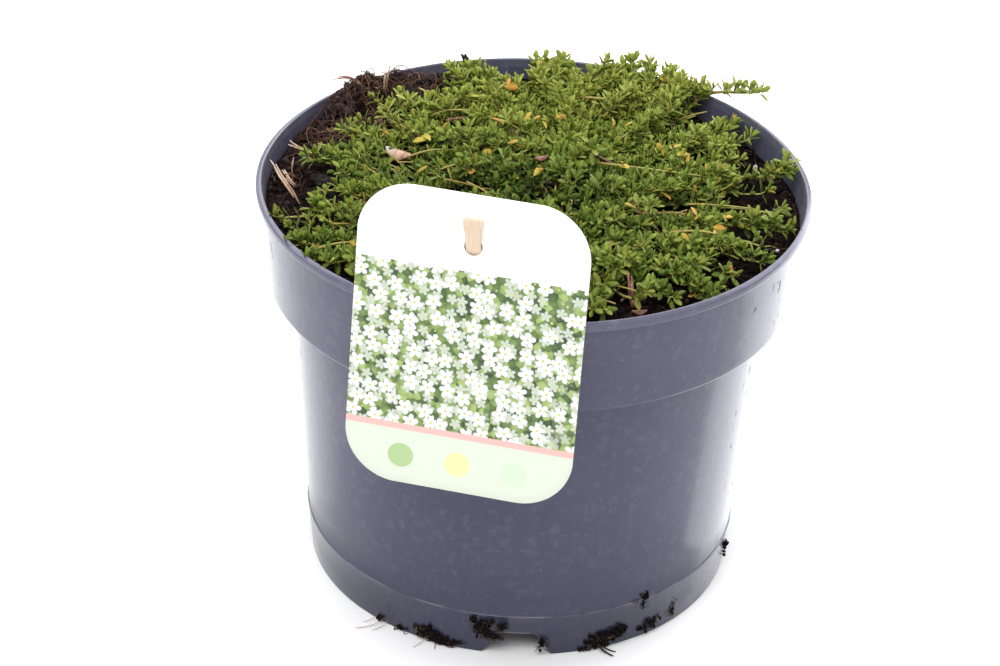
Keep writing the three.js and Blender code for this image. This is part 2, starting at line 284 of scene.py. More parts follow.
def closed_faces(rows, columns, copies=1):
    """Quads and triangles of closed bodies. Each body's points are a grid and then two poles, which
    close its first and its last row."""
    c, last, pole = np.arange(columns), (rows - 1) * columns, rows * columns
    foot = np.stack([(c + 1) % columns, c, np.full(columns, pole)], -1)
    head = np.stack([last + c, last + (c + 1) % columns, np.full(columns, pole + 1)], -1)
    each = (pole + 2) * np.arange(copies)[:, None, None]
    triangles = np.concatenate([foot, head]) + each
    return (grid_faces(rows, columns) + each).reshape(-1, 4), triangles.reshape(-1, 3)


def closed_skin(rings, foot, head):
    """Points and faces of one closed body: rings (rows, columns, 3) between two poles."""
    rows, columns = rings.shape[:2]
    return np.concatenate([rings.reshape(-1, 3), [foot, head]]), *closed_faces(rows, columns)


def add_piece(name, finish, slot, points, *blocks, node=None, sharp=None, **numbers):
    """A finished piece, which rides on the one body and may stand for a construction node. Edges are
    sharp above an angle, and each point keeps the numbers given by name, for the finish to read."""
    piece = add_mesh(name, points, *blocks)
    if sharp:
        piece.data.set_sharp_from_angle(angle=math.radians(sharp))
    for key, values in numbers.items():
        store = piece.data.attributes.new(key, "FLOAT", "POINT")
        store.data.foreach_set("value", np.asarray(values, np.float32).ravel())
    piece.data.materials.append(finish)
    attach(piece, "root")
    if node:
        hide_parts(node)
    return piece


profile = np.concatenate([
    [[6, base_under], [60, base_under]],
    arc((71.4, base_under - 1.5), 1.5, 90, 0),
    [[73.2, 0.4], [73.4, 0.05], [73.8, 0]],
    arc((74.1, 0.5), 0.5, -90, 0),
    [[76.2, seam - 0.5], [76.3, seam - 0.2], [76.2, seam], [75.95, seam + 0.05], [75.85, seam + 0.35]],
    [[82.5, shelf - 1], [82.7, shelf + 0.5], [83.2, shelf + 0.7], [88.4, shelf + 0.7], [89.2, shelf + 0.5]],
    arc((89.55, shelf + 0.35), 1.05, 220, 355, 8),
    [[90.7, shelf + 2], [93.3, lip_foot - 1.2]],
    arc((93.9, lip_foot - 0.6), 0.5, 170, 90, 3),
    arc((94.2, lip_foot + 0.7), 0.8, -80, 0, 6),
    [[95.0, rim - 1.6]],
    arc((94.55, rim - 1.15), 0.45, 0, 62),
    arc((93.45, rim - 0.6), 0.6, 75, 180, 5),
    [[92.8, rim - 2.6], [92.3, rim - 4.2], [89.4, shelf + 2.2], [88.8, shelf + 2]],
    [[81.6, shelf + 2], [81.3, shelf + 1.6], [74.6, seam], [73.7, 11.4], [72.9, base_top], [6, base_top]],
])
profile = spaced(profile, 9.0)
radius, height = profile[:, :1], profile[:, 1:]
notch_angles = (np.arange(4) * math.pi / 2 + notch_turn)[:, None]
edges = np.linspace(-notch_foot, notch_foot, 21) / foot_radius
around = np.linspace(0, full_turn, 216, endpoint=False)
around = np.unique(np.round(np.concatenate([around, (notch_angles + edges).ravel() % full_turn]), 5))
away = np.abs((around - notch_angles + math.pi) % full_turn - math.pi).min(0) * foot_radius
slope = np.clip((notch_foot - away) / (notch_foot - notch_top), 0, 1)
opening = notch_rise * slope**1.5 * (2.5 - 1.5 * slope)
# Below the seam the foot's edge is drawn up to the notch, and what is above it moves in proportion.
lifted = np.maximum(height, opening + 0.05 * height)
lifted = np.where(radius > foot_inside, opening + height * (seam - opening) / seam, lifted)
outer = np.arange(len(profile))[:, None] <= len(profile) / 2
height = np.where(outer & (height < seam) & (radius > 71), lifted, height)
pot_skin = closed_skin(carried_round(radius, height, around), [0, 0, base_under], [0, 0, base_top])


def object_noise(pen, scale, detail=2.0, stretch=(1, 1, 1), roughness=0.5):
    """Noise on object coordinates, with so many features a metre, drawn out along an axis as asked."""
    where = pen.node("ShaderNodeMapping", {}, {"Vector": pen.places(), "Scale": stretch})
    inputs = {"Vector": where, "Scale": scale, "Detail": detail, "Roughness": roughness}
    return pen.node("ShaderNodeTexNoise", {}, inputs)


def object_place(pen):
    """Object coordinates in millimetres from the pot's axis, as wires x, y and z."""
    parts = pen.node("ShaderNodeSeparateXYZ", {}, {"Vector": pen.places()})
    return (parts - axis[0] * MM) * 1000, (parts.output(1) - axis[1] * MM) * 1000, parts.output(2) * 1000


def water_spots(pen, scale, share):
    """Soft dried drops, so many a metre: pale blobs with a little paler edge in a share of the cells."""
    wobble = object_noise(pen, 260, 2).output(1)
    inputs = {0: wobble, 1: (0.005, 0.005, 0.005), 2: pen.places()}
    where = pen.node("ShaderNodeVectorMath", {"operation": "MULTIPLY_ADD"}, inputs)
    cells = pen.node("ShaderNodeTexVoronoi", {}, {"Vector": where, "Scale": scale})
    chance = pen.parts(cells.output(1))
    near = cells + chance.output(1) * 0.25
    return near.rise(0.6, 0.3) * (0.7 + 0.3 * near.rise(0.3, 0.45)) * chance.rise(1 - share, 1.2 - share)


plastic, shader, pen = new_finish(
    "moulded_polypropylene", IOR=1.5, Sheen_Weight=0.11, Sheen_Roughness=0.3, Sheen_Tint=(1, 0.98, 1, 1),
    Specular_Tint=(0.8, 0.84, 1, 1),
)
x, y, z = object_place(pen)
streaks = object_noise(pen, 300, 4, (1, 1, 0.15)).rise(0.48, 0.75)
blotches = object_noise(pen, 45, 5).rise(0.4, 0.7)
# Streaks and blotches of haze, stronger on the right side: partly a real dusty film, partly a painted
# reflection that brightens the pot's right side.
haze_and_reflection = (streaks * 0.5 + blotches * 0.5) * (0.35 + 0.65 * x.rise(50, 80))
spots = water_spots(pen, 230, 0.75) + water_spots(pen, 420, 0.6) * 0.7
specks = object_noise(pen, 900, 1).rise(0.73, 0.78)
on_seam = z.rise(seam - 0.55, seam - 0.25) * z.rise(seam + 0.2, seam)
scuffed = on_seam * object_noise(pen, 70, 3).rise(0.3, 0.6)
# Painted light: a pale patch on the top edge of the front drain notch stands in for the bright backdrop seen
# through it.
paleness = z.rise(7.9, 8.5) * z.rise(9.7, 9.2) * x.rise(-6.5, -5) * x.rise(6.5, 5) * y.rise(-70, -72)
# The foot is paler on its right side, below the seam.
paler_right_foot = z.rise(seam, seam - 2) * x.rise(42, 74) * (0.45 + 0.55 * object_noise(pen, 90, 4).rise(0.35, 0.65))
pale = haze_and_reflection * 0.11 + spots * 0.05 + specks * 0.2 + scuffed * 0.5 + paleness * 0.6
# Painted light: the pot grows paler towards its top, and the lip is painted paler above its foot.
pale = pale + z.rise(10, 150) * 0.04 + paler_right_foot * 0.2 + z.rise(lip_foot - 0.2, lip_foot + 0.3) * 0.07
skin = pale.mix((0.046, 0.046, 0.085), (0.40, 0.37, 0.40))
# Painted shade: the body darkens towards the foot, less where the foot is paler on the right.
skin = (z.rise(55, 0) * 0.6 * (1 - paler_right_foot)).mix(skin, (0.018, 0.017, 0.03))
stained = object_noise(pen, 420, 4, (1, 1, 0.35)).rise(0.62, 0.68) * (x.rise(64, 78) + x.rise(-66, -78) * 0.4)
(stained * 0.45).mix(skin, (0.045, 0.034, 0.034)).feed(shader, "Base Color")
(0.19 + haze_and_reflection * 0.05 + spots * 0.02 + stained * 0.4).feed(shader, "Roughness")
(object_noise(pen, 500, 2) * 0.5 + object_noise(pen, 60, 1)).emboss(shader, 0.06, 0.0004)
add_piece("nursery_pot", plastic, "pot_plastic", *pot_skin, node="pot", sharp=50)


# The compost: moist dark peat that fills the pot to a little under the lip. Its surface is crumbly, and
# where the plant leaves it open it shows loose crumbs, fine red-brown roots and a few white grains.
level, tilt = 136.5, 0.02
heap_x, heap_y, heap_height, heap_spread = -60, 60, 8.5, 7.5
compost_foot = 11.4
mat_edge = np.array([
    [-75, 84], [-62, 77], [-44, 88], [-33, 78], [-22, 82], [-8, 88], [2, 74], [12, 88], [22, 74],
    [33, 88], [45, 83], [60, 88], [75, 89], [95, 89], [108, 86], [120, 80], [132, 79], [146, 70],
    [158, 72], [168, 83], [180, 64], [193, 78], [205, 87], [220, 88], [240, 87], [285, 84],
])


def bed(x, y):
    """The compost's height: a level, a slight tilt and two crossed waves."""
    waves = 0.5 * np.sin(0.21 * x + 0.4) * np.cos(0.17 * y - 0.9) + 0.35 * np.sin(0.33 * x - 0.27 * y + 2)
    return level - tilt * x + waves


def ground(x, y):
    """The bed with the heap on it, a bell of revolution."""
    away = (x - heap_x) ** 2 + (y - heap_y) ** 2
    return bed(x, y) + heap_height * np.exp(-away / (2 * heap_spread**2))


def lumps(x, y, size, seed, cells=61):
    """Smooth noise from -1 to 1: random heights on a square lattice, blended by smooth steps."""
    table = np.random.default_rng(seed).uniform(-1, 1, (cells, cells))
    u, v = x / size, y / size
    i, j = np.floor(u).astype(int), np.floor(v).astype(int)
    f, g = u - i, v - j
    f, g = f * f * (3 - 2 * f), g * g * (3 - 2 * g)
    near, far = (
        table[i % cells, k % cells] * (1 - f) + table[(i + 1) % cells, k % cells] * f for k in (j, j + 1)
    )
    return near * (1 - g) + far * g


def relief(x, y):
    """Crumbs of four sizes, rounded on top: absolute values of noise turned upside down."""
    return (
        0.9 * lumps(x, y, 9, 1) + 0.9 * (0.4 - np.abs(lumps(x, y, 3.6, 2)))
        + 0.6 * (0.4 - np.abs(lumps(x, y, 1.7, 3))) + 0.3 * lumps(x, y, 0.9, 4)
    )


around = np.linspace(0, full_turn, 280, endpoint=False)
radii = np.linspace(0.8, 91.3, 92)[:, None]
x, y = radii * np.cos(around), radii * np.sin(around)
sides = np.array([
    [91.0, 133], [87.6, shelf + 3], [80, shelf + 2.6], [73.4, 18], [71, compost_foot], [6, compost_foot],
])
under = carried_round(sides[:, :1], sides[:, 1:], around)
rings = np.concatenate([np.stack([x, y, bed(x, y) + relief(x, y)], -1), under])
bed_skin = closed_skin(rings, [0, 0, bed(0, 0)], [0, 0, compost_foot])

peat, shader, pen = new_finish("moist_peat", Roughness=0.95, Specular_IOR_Level=0.03)
clods = object_noise(pen, 420, 6, (1, 1, 1), 0.65)
threads = object_noise(pen, 300, 3, (1, 0.2, 1)).rise(0.58, 0.75)
dark = clods.rise(0.35, 0.7).mix((0.002, 0.0012, 0.0012), (0.016, 0.0095, 0.008))
(threads * 0.25).mix(dark, (0.04, 0.018, 0.012)).feed(shader, "Base Color")
clods.emboss(shader, 0.8, 0.0008)
add_piece("compost_bed", peat, "peat_compost", *bed_skin, node="compost")


def unit(v):
    """Vectors brought to length 1."""
    return v / np.linalg.norm(v, axis=-1, keepdims=True)


def polar(azimuth, radius):
    """x and y at an azimuth in degrees and a radius from the pot's axis."""
    return radius * np.cos(np.radians(azimuth)), radius * np.sin(np.radians(azimuth))


def read(pen, name):
    """A wire with the numbers that a piece's points keep under a name."""
    return pen.node("ShaderNodeAttribute", {"attribute_name": name}, {}, 2)


def crumb_bodies(centres, sizes, rng):
    """Closed crumbs: an icosahedron for each centre, its points pushed in and out at random."""
    g = (1 + 5**0.5) / 2
    ball = unit(np.array([
        [-1, g, 0], [1, g, 0], [-1, -g, 0], [1, -g, 0], [0, -1, g], [0, 1, g], [0, -1, -g], [0, 1, -g],
        [g, 0, -1], [g, 0, 1], [-g, 0, -1], [-g, 0, 1],
    ]))
    faces = np.array([
        [0, 11, 5], [0, 5, 1], [0, 1, 7], [0, 7, 10], [0, 10, 11], [1, 5, 9], [5, 11, 4], [11, 10, 2],
        [10, 7, 6], [7, 1, 8], [3, 9, 4], [3, 4, 2], [3, 2, 6], [3, 6, 8], [3, 8, 9], [4, 9, 5],
        [2, 4, 11], [6, 2, 10], [8, 6, 7], [9, 8, 1],
    ])
    count = len(centres)
    shapes = ball * rng.uniform(0.6, 1.25, (count, 12, 1)) * rng.uniform(0.6, 1.3, (count, 1, 3))
    points = centres[:, None] + shapes * sizes[:, None, None] / 2
    return points.reshape(-1, 3), (faces + 12 * np.arange(count)[:, None, None]).reshape(-1, 3)


def tubes(paths, radii, sides):
    """Closed tubes along paths (n, m, 3) with radii (n, m): rings square to the path, and a point at
    each end. Returns the points, the quads and the end triangles."""
    count, steps = paths.shape[:2]
    along = unit(np.gradient(paths, axis=1))
    helper = np.where(np.abs(along[..., 2:]) > 0.8, [1.0, 0.0, 0.0], [0.0, 0.0, 1.0])
    across = unit(np.cross(along, helper))
    over = np.cross(along, across)
    a = np.linspace(0, full_turn, sides, endpoint=False)[:, None]
    square = across[:, :, None] * np.cos(a) + over[:, :, None] * np.sin(a)
    rings = paths[:, :, None] + radii[:, :, None, None] * square
    ends = paths[:, [0, -1]] + along[:, [0, -1]] * radii[:, [0, -1], None] * np.array([[[-0.8], [0.8]]])
    points = np.concatenate([rings.reshape(count, -1, 3), ends], 1)
    return points.reshape(-1, 3), *closed_faces(steps, sides, count)


def open_places(rng, count, inward, outward):
    """Places near the wall, beyond the mat's edge for the most part, as azimuth in degrees and radius."""
    azimuth = rng.uniform(-75, 285, count)
    edge = np.interp(azimuth, mat_edge[:, 0], mat_edge[:, 1])
    return azimuth, np.minimum(edge - inward + rng.random(count) ** 0.7 * (90.5 - edge + inward), outward)


crumb_finish, shader, pen = new_finish("peat_crumb", Roughness=0.85, Specular_IOR_Level=0.08)
tone = read(pen, "tone")
grain = object_noise(pen, 1200, 3)
x, y, z = object_place(pen)
shade = tone.rise(0.45, 1).mix((0.0035, 0.0025, 0.0026), (0.042, 0.027, 0.024))
drier = x.rise(-25, -60) * y.rise(0, 40)
shade = (drier * 0.4).mix(shade, (0.062, 0.043, 0.042))
(grain.rise(0.45, 0.75) * 0.5).mix(shade, (0.026, 0.016, 0.012)).feed(shader, "Base Color")
grain.emboss(shader, 0.6, 0.0004)


def add_crumbs(name, centres, sizes, rng, darker=1):
    """A piece of crumbs, whose tones are random numbers to a power, so that darker has few pale ones."""
    points, faces = crumb_bodies(centres, sizes, rng)
    tone = np.repeat(rng.random(len(centres)) ** darker, 12)
    add_piece(name, crumb_finish, "peat_compost", points, faces, tone=tone)


rng = np.random.default_rng(7)
count = 2600
x, y = polar(*open_places(rng, count, 16, 90.3))
sizes = 0.6 + 2.2 * rng.random(count) ** 3
add_crumbs("compost_crumbs", np.c_[x, y, ground(x, y) + relief(x, y) + 0.25 * sizes], sizes, rng)

fibre_finish, shader, pen = new_finish("dry_root", Roughness=0.8, Specular_IOR_Level=0.15)
brown = read(pen, "tone").ramp(
    (0.0, (0.026, 0.014, 0.011)), (0.55, (0.088, 0.042, 0.027)), (0.85, (0.25, 0.13, 0.075)),
    (1.0, (0.44, 0.30, 0.19)),
)
object_noise(pen, 700).rise(0.3, 0.8).mix(brown, (0.05, 0.025, 0.017)).feed(shader, "Base Color")


def add_roots(name, paths, thick, tone):
    """A piece of thin roots: four-sided tubes, each with a tone of its own."""
    tone = np.repeat(tone, 4 * paths.shape[1] + 2)
    add_piece(name, fibre_finish, "peat_compost", *tubes(paths, thick, 4), tone=tone)


def wander(start, turn, length):
    """A root's plan: equal steps from its start, by headings that turn along it."""
    steps = np.stack([np.cos(turn), np.sin(turn)], -1) * length[:, None, None] / (turn.shape[1] - 1)
    return start[:, None] + np.cumsum(steps, 1)


count = 420
azimuth, radius = open_places(rng, count, 10, 88.5)
heading = rng.uniform(0, full_turn, count)
length = rng.uniform(3, 11, count)
t = np.linspace(0, 1, 7)
turn = heading[:, None] + rng.uniform(-1.6, 1.6, (count, 1)) * t
plan = wander(np.c_[polar(azimuth, radius)], turn, length)
plan = plan / np.maximum(np.linalg.norm(plan, axis=-1, keepdims=True) / 90.2, 1)
rise = 0.5 + rng.uniform(0, 2.4, (count, 1)) * np.sin(math.pi * t) ** 2
paths = np.concatenate([plan, (ground(plan[..., 0], plan[..., 1]) + rise)[..., None]], -1)
thick = rng.uniform(0.07, 0.17, (count, 1)) * np.array([1, 1, 0.95, 0.9, 0.8, 0.65, 0.45])
add_roots("root_fibres", paths, thick, rng.random(count) ** 2 * np.where(azimuth > 100, 1, 0.6))


# The heap: loose peat and curly roots pushed up against the wall at the back left, higher than the lip.
# Crumbs are banked up along the wall on both its sides, and thick dead roots curl out of them.
around = np.linspace(0, full_turn, 90, endpoint=False)
radii = np.linspace(0.6, 15, 26)[:, None]
x, y = heap_x + radii * np.cos(around), heap_y + radii * np.sin(around)
inward = np.minimum(1, 90.6 / np.hypot(x, y))
x, y = x * inward, y * inward
heap_foot = 1.6
top = np.stack([x, y, ground(x, y) + 0.35 + 1.3 * relief(x, y)], -1)
under = np.stack([x[-1:], y[-1:], bed(x[-1:], y[-1:]) - heap_foot], -1)
crest = [heap_x, heap_y, ground(heap_x, heap_y) + 0.8]
heap_skin = closed_skin(np.concatenate([top, under]), crest, [heap_x, heap_y, bed(heap_x, heap_y) - heap_foot])
add_piece("loose_compost_heap", peat, "peat_compost", *heap_skin, node="compost_heap")

bank_azimuth = [108, 113, 118, 124, 129, 134, 139, 144, 150]
bank_height = [0, 4.5, 6, 8.5, 8, 11.5, 9, 7, 0]


def bank(x, y):
    """How high crumbs are banked up: a height at the wall by azimuth, times a bell of the distance."""
    azimuth, radius = np.degrees(np.arctan2(y, x)) % 360, np.hypot(x, y)
    return np.interp(azimuth, bank_azimuth, bank_height) * np.exp(-(((90.2 - radius) / 9) ** 2))


rng = np.random.default_rng(11)
count = 1500
azimuth = rng.triangular(106, 134, 152, count)
x, y = polar(azimuth, 90.2 - 13 * rng.random(count) ** 1.4)
stack = bank(x, y) * rng.random(count) ** 0.5
sizes = 1.0 + 2.6 * rng.random(count) ** 2
add_crumbs("heap_crumbs", np.c_[x, y, bed(x, y) + stack], sizes, rng)

# Each root wanders over the bank by a slowly turning heading, and arches up by a squared sine.
count = 420
azimuth = rng.normal(138, 15, count)
radius = np.minimum(rng.normal(81, 8, count), 89.5)
arch = 0.3 + 2.6 * rng.random(count) ** 2
length = rng.uniform(4, 15, count)
thick = rng.uniform(0.1, 0.27, count)
rng = np.random.default_rng(12)
t = np.linspace(0, 1, 9)
turn = rng.uniform(0, full_turn, (count, 1)) + rng.uniform(-3.2, 3.2, (count, 1)) * t
turn += rng.uniform(0, 0.9, (count, 1)) * np.sin(t * 9 + rng.uniform(0, 6, (count, 1)))
plan = wander(np.c_[polar(azimuth, radius)], turn, length)
plan = plan * np.minimum(1, 90.3 / np.linalg.norm(plan, axis=-1, keepdims=True))
x, y = plan[..., 0], plan[..., 1]
lift = arch[:, None] * np.sin(math.pi * (0.15 + 0.7 * t)) ** 2 + 0.5
paths = np.stack([x, y, np.maximum(ground(x, y), bed(x, y) + bank(x, y)) + lift], -1)
taper = np.array([0.9, 1, 1, 0.95, 0.9, 0.8, 0.7, 0.55, 0.35])
add_roots("heap_roots", paths, thick[:, None] * taper, rng.random(count) ** 1.3)


# White grains: a few bits of perlite that were mixed into the peat and lie on it, mostly at the right.
grain_places = np.array([
    [77.4, 35], [82.8, 5], [82.8, -23], [52.3, -69], [36, -72], [-64, -37], [-38, 78], [70, 47],
    [-80, 20], [12, -86],
])
perlite, shader, pen = new_finish("white_perlite", Roughness=0.7)
object_noise(pen, 900).rise(0.3, 0.7).mix((0.42, 0.39, 0.36), (0.72, 0.7, 0.68)).feed(shader, "Base Color")
rng = np.random.default_rng(21)
sizes = rng.uniform(1.4, 2.2, len(grain_places))
centres = np.c_[grain_places, ground(*grain_places.T) + 0.9]
add_piece("perlite_grains", perlite, "peat_compost", *crumb_bodies(centres, sizes, rng))


# The woody base: an old limb that lies across the pot on the compost, knobbly and covered in cracked
# grey-brown bark, with a stock that goes down to the roots.
limb_front, limb_back, limb_x, limb_sway, limb_radius, limb_rise = -60, 71, 8, 4.5, 1.7, 2.4
stock_y, stock_radius, stock_depth = 14, 3, 13


def limb_at(y):
    """The limb's x: a slow sine of y."""
    return limb_x + limb_sway * np.sin((y + 10) / 26)


def joined(*bodies):
    """Bodies, each its points and its blocks of faces, as the points and blocks of one mesh."""
    starts = np.cumsum([0] + [len(points) for points, *_ in bodies])
    blocks = [block + start for start, (_, *faces) in zip(starts, bodies) for block in faces]
    return np.concatenate([points for points, *_ in bodies]), *blocks


old_bark, shader, pen = new_finish("old_thyme_bark", Roughness=0.8, Specular_IOR_Level=0.3)
furrows = object_noise(pen, 420, 5, (1, 0.22, 1), 0.6)
browns = furrows.ramp((0.3, (0.018, 0.01, 0.008)), (0.5, (0.075, 0.04, 0.025)), (0.7, (0.16, 0.095, 0.055)))
browns.feed(shader, "Base Color")
furrows.emboss(shader, 0.9, 0.0006)

y = np.linspace(limb_front, limb_back, 60)
line = np.c_[limb_at(y), y, ground(limb_at(y), y) + limb_rise]
knobs = limb_radius * (0.85 + 0.16 * np.sin(y * 0.55) * np.sin(y * 0.21 + 1) + 0.1 * np.sin(y * 1.7))
knobs *= np.interp(y, [limb_front, limb_front + 12, limb_back - 12, limb_back], [0.45, 1, 1, 0.5])
down = np.linspace(0, 1, 12)[:, None]
stock_top = np.array([limb_at(stock_y), stock_y, ground(limb_at(stock_y), stock_y) + limb_rise])
stock_line = stock_top - down * [1.5, 0.5, stock_depth] + 0.6 * np.sin(down * 7) * [1, 0.6, 0]
stock = tubes(stock_line[None], stock_radius * np.linspace(0.95, 0.6, 12)[None], 12)
crown = joined(tubes(line[None], knobs[None], 12), stock)
add_piece("woody_crown", old_bark, "thyme_wood", *crown, node="thyme_crown")


# The leafy stems. Wiry runners leave the old limb on both sides and trail over the compost to the wall.
# Each is one growth with side runners and upright tufts of small oval leaves in pairs, held to the light.
stem_gap, per_side = 0.5, 18
leaf_length = 5.2
UP = np.array([0.0, 0.0, 1.0])


def vary(i, k):
    """The same small variation, from -0.5 to 0.5, that the construction model gives its stems."""
    s = math.sin(i * 12.9898 + k * 78.233) * 43758.5453
    return s - math.floor(s) - 0.5


def trail(start, end, lift, steps):
    """A runner's path: in plan a quadratic curve that leaves the limb sideways, and over the ground a
    polynomial through five heights."""
    t = np.linspace(0, 1, steps)[:, None]
    bend = start + (end - start) * [0.6, 0.15]
    plan = (1 - t) ** 2 * start + 2 * t * (1 - t) * bend + t**2 * end
    heights = [limb_rise, 3.1 + lift, 3.4 + lift, 3.8 + lift, 5.2 + lift]
    over = np.polyval(np.polyfit(np.linspace(0, 1, 5), heights, 4), t[:, 0])
    return np.c_[plan, ground(plan[:, 0], plan[:, 1]) + over]


# One leaf is a closed thin body: four rings of four points (left edge, midrib, right edge, underside)
# between its foot and its tip. Its edges stand up from the midrib and its tip bends over.
ring_share = np.array([0.15, 0.42, 0.73, 0.93])
ring_width = np.array([0.36, 0.92, 0.92, 0.46])
leaf_points = 18
leaf_along = np.append(np.repeat(ring_share, 4), [0, 1])
leaf_across = np.append(np.tile([1, 0, 1, 0], 4), [0, 0])


def leaf_bodies(foot, along, face, length, width, cup, droop):
    """Points and faces of leaves. Half the width follows ring_width, the edges rise by cup times it,
    and the leaf bends away from its face with the square of the distance from its foot."""
    side = np.cross(along, face)
    s = ring_share[:, None]
    half = ring_width[:, None] * width[:, None, None]
    across = np.array([-1, 0, 1, 0])
    rise = cup[:, None, None] * half * np.array([1, 0, 1, 0]) + np.array([0, 0.05, 0, -0.15])
    rise = rise - (droop * length)[:, None, None] * s**2
    rings = (
        foot[:, None, None] + along[:, None, None] * (s * length[:, None, None])[..., None]
        + side[:, None, None] * (across * half)[..., None] + face[:, None, None] * rise[..., None]
    )
    tip = foot + along * length[:, None] - face * (droop * length)[:, None]
    points = np.concatenate([rings.reshape(len(foot), 16, 3), foot[:, None], tip[:, None]], 1)
    return points.reshape(-1, 3), *closed_faces(4, 4, len(foot))


def leaf_set(place, heading, radial, spread, length, youth):
    """Leaves that leave a heading by the angle spread towards radial, with their upper faces ahead."""
    s, c = np.sin(spread)[..., None], np.cos(spread)[..., None]
    along, face = c * heading + s * radial, s * heading - c * radial
    places = [a.reshape(-1, 3) for a in np.broadcast_arrays(place, along, face)]
    return places + [a.ravel() for a in np.broadcast_arrays(length, youth)]


def pairs_along(place, heading, order, length, rng):
    """Leaf pairs on a runner, each pair opened to its two sides, now widely and now little, so that
    all the leaves of a trailing stem stand in the half above it."""
    side = unit(np.cross(heading, UP))
    upward = np.cross(side, heading)
    opened = np.radians(np.where(order % 2 == 0, 58, 22) + rng.normal(0, 9, len(place)))[:, None]
    sets = []
    for sign in (-1, 1):
        radial = np.cos(opened) * upward + sign * np.sin(opened) * side
        spread = np.radians(rng.normal(60, 9, len(place)))
        lengths = length * rng.uniform(0.85, 1.12, len(place))
        sets.append(leaf_set(place, heading, radial, spread, lengths, 0.15))
    return [np.concatenate(parts) for parts in zip(*sets)]


def tuft_leaves(base, way, height, rng):
    """Tufts: four leaf pairs on each short upright shoot, at right angles to each other, wide open
    below and closed to a bud at the top, where they are young and small."""
    count = len(base)
    a = unit(np.cross(way, rng.normal(size=(count, 3))))
    b = np.cross(way, a)
    turn = np.arange(4) * math.pi / 2 + rng.normal(0, 0.22, (count, 4))
    turn = turn[..., None] + [0, math.pi]
    radial = np.cos(turn)[..., None] * a[:, None, None] + np.sin(turn)[..., None] * b[:, None, None]
    spread = np.radians(np.array([76, 58, 38, 18]))[:, None] + rng.normal(0, 0.14, (count, 4, 2))
    levels = height[:, None] * np.array([0.15, 0.5, 0.8, 1.0])
    place = (base[:, None] + way[:, None] * levels[..., None])[:, :, None]
    size = rng.uniform(0.78, 1.08, (count, 1, 1)) * np.array([0.92, 1, 0.88, 0.6])[:, None]
    length = leaf_length * size * rng.uniform(0.88, 1.1, (count, 4, 2))
    return leaf_set(place, way[:, None, None], radial, spread, length, np.array([0.1, 0.4, 0.75, 1.0])[:, None])


def path_length(path):
    """The sum of a path's spans."""
    return np.linalg.norm(np.diff(path, axis=0), axis=1).sum()


def resample(path, shares):
    """Points of a path at shares of its length, and its unit direction there."""
    lengths = np.append(0, np.cumsum(np.linalg.norm(np.diff(path, axis=0), axis=1)))
    at = np.clip(shares, 0, 1) * lengths[-1]
    here, ahead, back = (
        np.stack([np.interp(at + step, lengths, path[:, k]) for k in range(3)], -1) for step in (0, 0.4, -0.4)
    )
    return here, unit(ahead - back)


def side_runners(path, count, reach, climb, last, rng):
    """Side runners (count, 6, 3): each leaves its stem at a narrow angle, climbs by a power of a sine,
    and stays inside the wall and over the ground."""
    shares = np.sort(rng.uniform(0.02, last, count))
    base, lead = resample(path, shares)
    out = unit(np.cross(lead, UP)) * rng.choice([-1, 1], (count, 1))
    angle = np.radians(rng.uniform(10, 36, (count, 1)))
    course = unit(lead * np.cos(angle) + out * np.sin(angle) + UP * 0.1)
    longest = np.maximum(7, path_length(path) * (1.04 - shares))
    length = np.minimum(rng.uniform(0.45, 1, count) * reach, longest)
    t = np.linspace(0, 1, 6)
    lifted = (climb * (1 - 0.6 * shares) * rng.uniform(0.2, 1, count))[:, None] * np.sin(t * math.pi / 2) ** 1.5
    paths = base[:, None] + course[:, None] * (length[:, None] * t)[..., None] + lifted[..., None] * UP
    paths[..., :2] *= np.minimum(1, 88 / np.hypot(paths[..., 0], paths[..., 1]))[..., None]
    paths[..., 2] = np.maximum(paths[..., 2], ground(paths[..., 0], paths[..., 1]) + 1.6)
    return paths


def turn_inward(foot, along, length):
    """Directions of leaves whose tips would pass the wall or the ground, turned up by what is too far
    as a share of the leaf's length."""
    tip = foot + along * length[:, None]
    out = np.hypot(tip[:, 0], tip[:, 1])
    within = tip[:, 2] < rim + 1.5
    too_far = np.where(within, np.maximum(out - 90.3, 0), 0) / length
    too_low = np.where(within, np.maximum(ground(tip[:, 0], tip[:, 1]) + 0.8 - tip[:, 2], 0), 0) / length
    turned = along - np.c_[tip[:, :2] / out[:, None], -np.ones(len(tip))] * too_far[:, None]
    return unit(turned + UP * too_low[:, None])


def square_to(along, face):
    """Upper faces made square to their leaves."""
    return unit(face - along * np.einsum("ij,ij->i", face, along)[:, None])


def flat_leaf(faces, order):
    """Flat places (faces, corners, 2) of a leaf's faces: what is on top on the left of its cell, what is
    underneath on the right, each as wide as the leaf is there and as long as the cell."""
    under = (order % 4 >= 2)[:, None]
    at = np.where(faces < 16, np.array([0, 0.5, 1, 0.5])[faces % 4], 0.5)
    wide = np.append(np.repeat(ring_width, 4), [0, 0])[faces]
    across = np.where(under, 1 - at, at) - 0.5
    return np.stack([0.25 + 0.46 * across * wide + 0.5 * under, leaf_along[faces]], -1)


def flat_tube(steps, sides):
    """Flat places of a tube's quads and of its end triangles: the tube slit open and rolled out."""
    r, c = np.arange(steps - 1)[:, None, None], np.arange(sides)[:, None]
    along = 0.06 + 0.88 * (r + [0, 0, 1, 1]) / (steps - 1)
    quads = np.stack(np.broadcast_arrays((c + [0, 1, 1, 0]) / sides, along), -1)
    foot = np.stack(np.broadcast_arrays((c + [1, 0, 0.5]) / sides, [0.06, 0.06, 0.0]), -1)
    head = np.stack(np.broadcast_arrays((c + [0, 1, 0.5]) / sides, [0.94, 0.94, 1.0]), -1)
    return quads.reshape(-1, 4, 2), np.concatenate([foot, head])


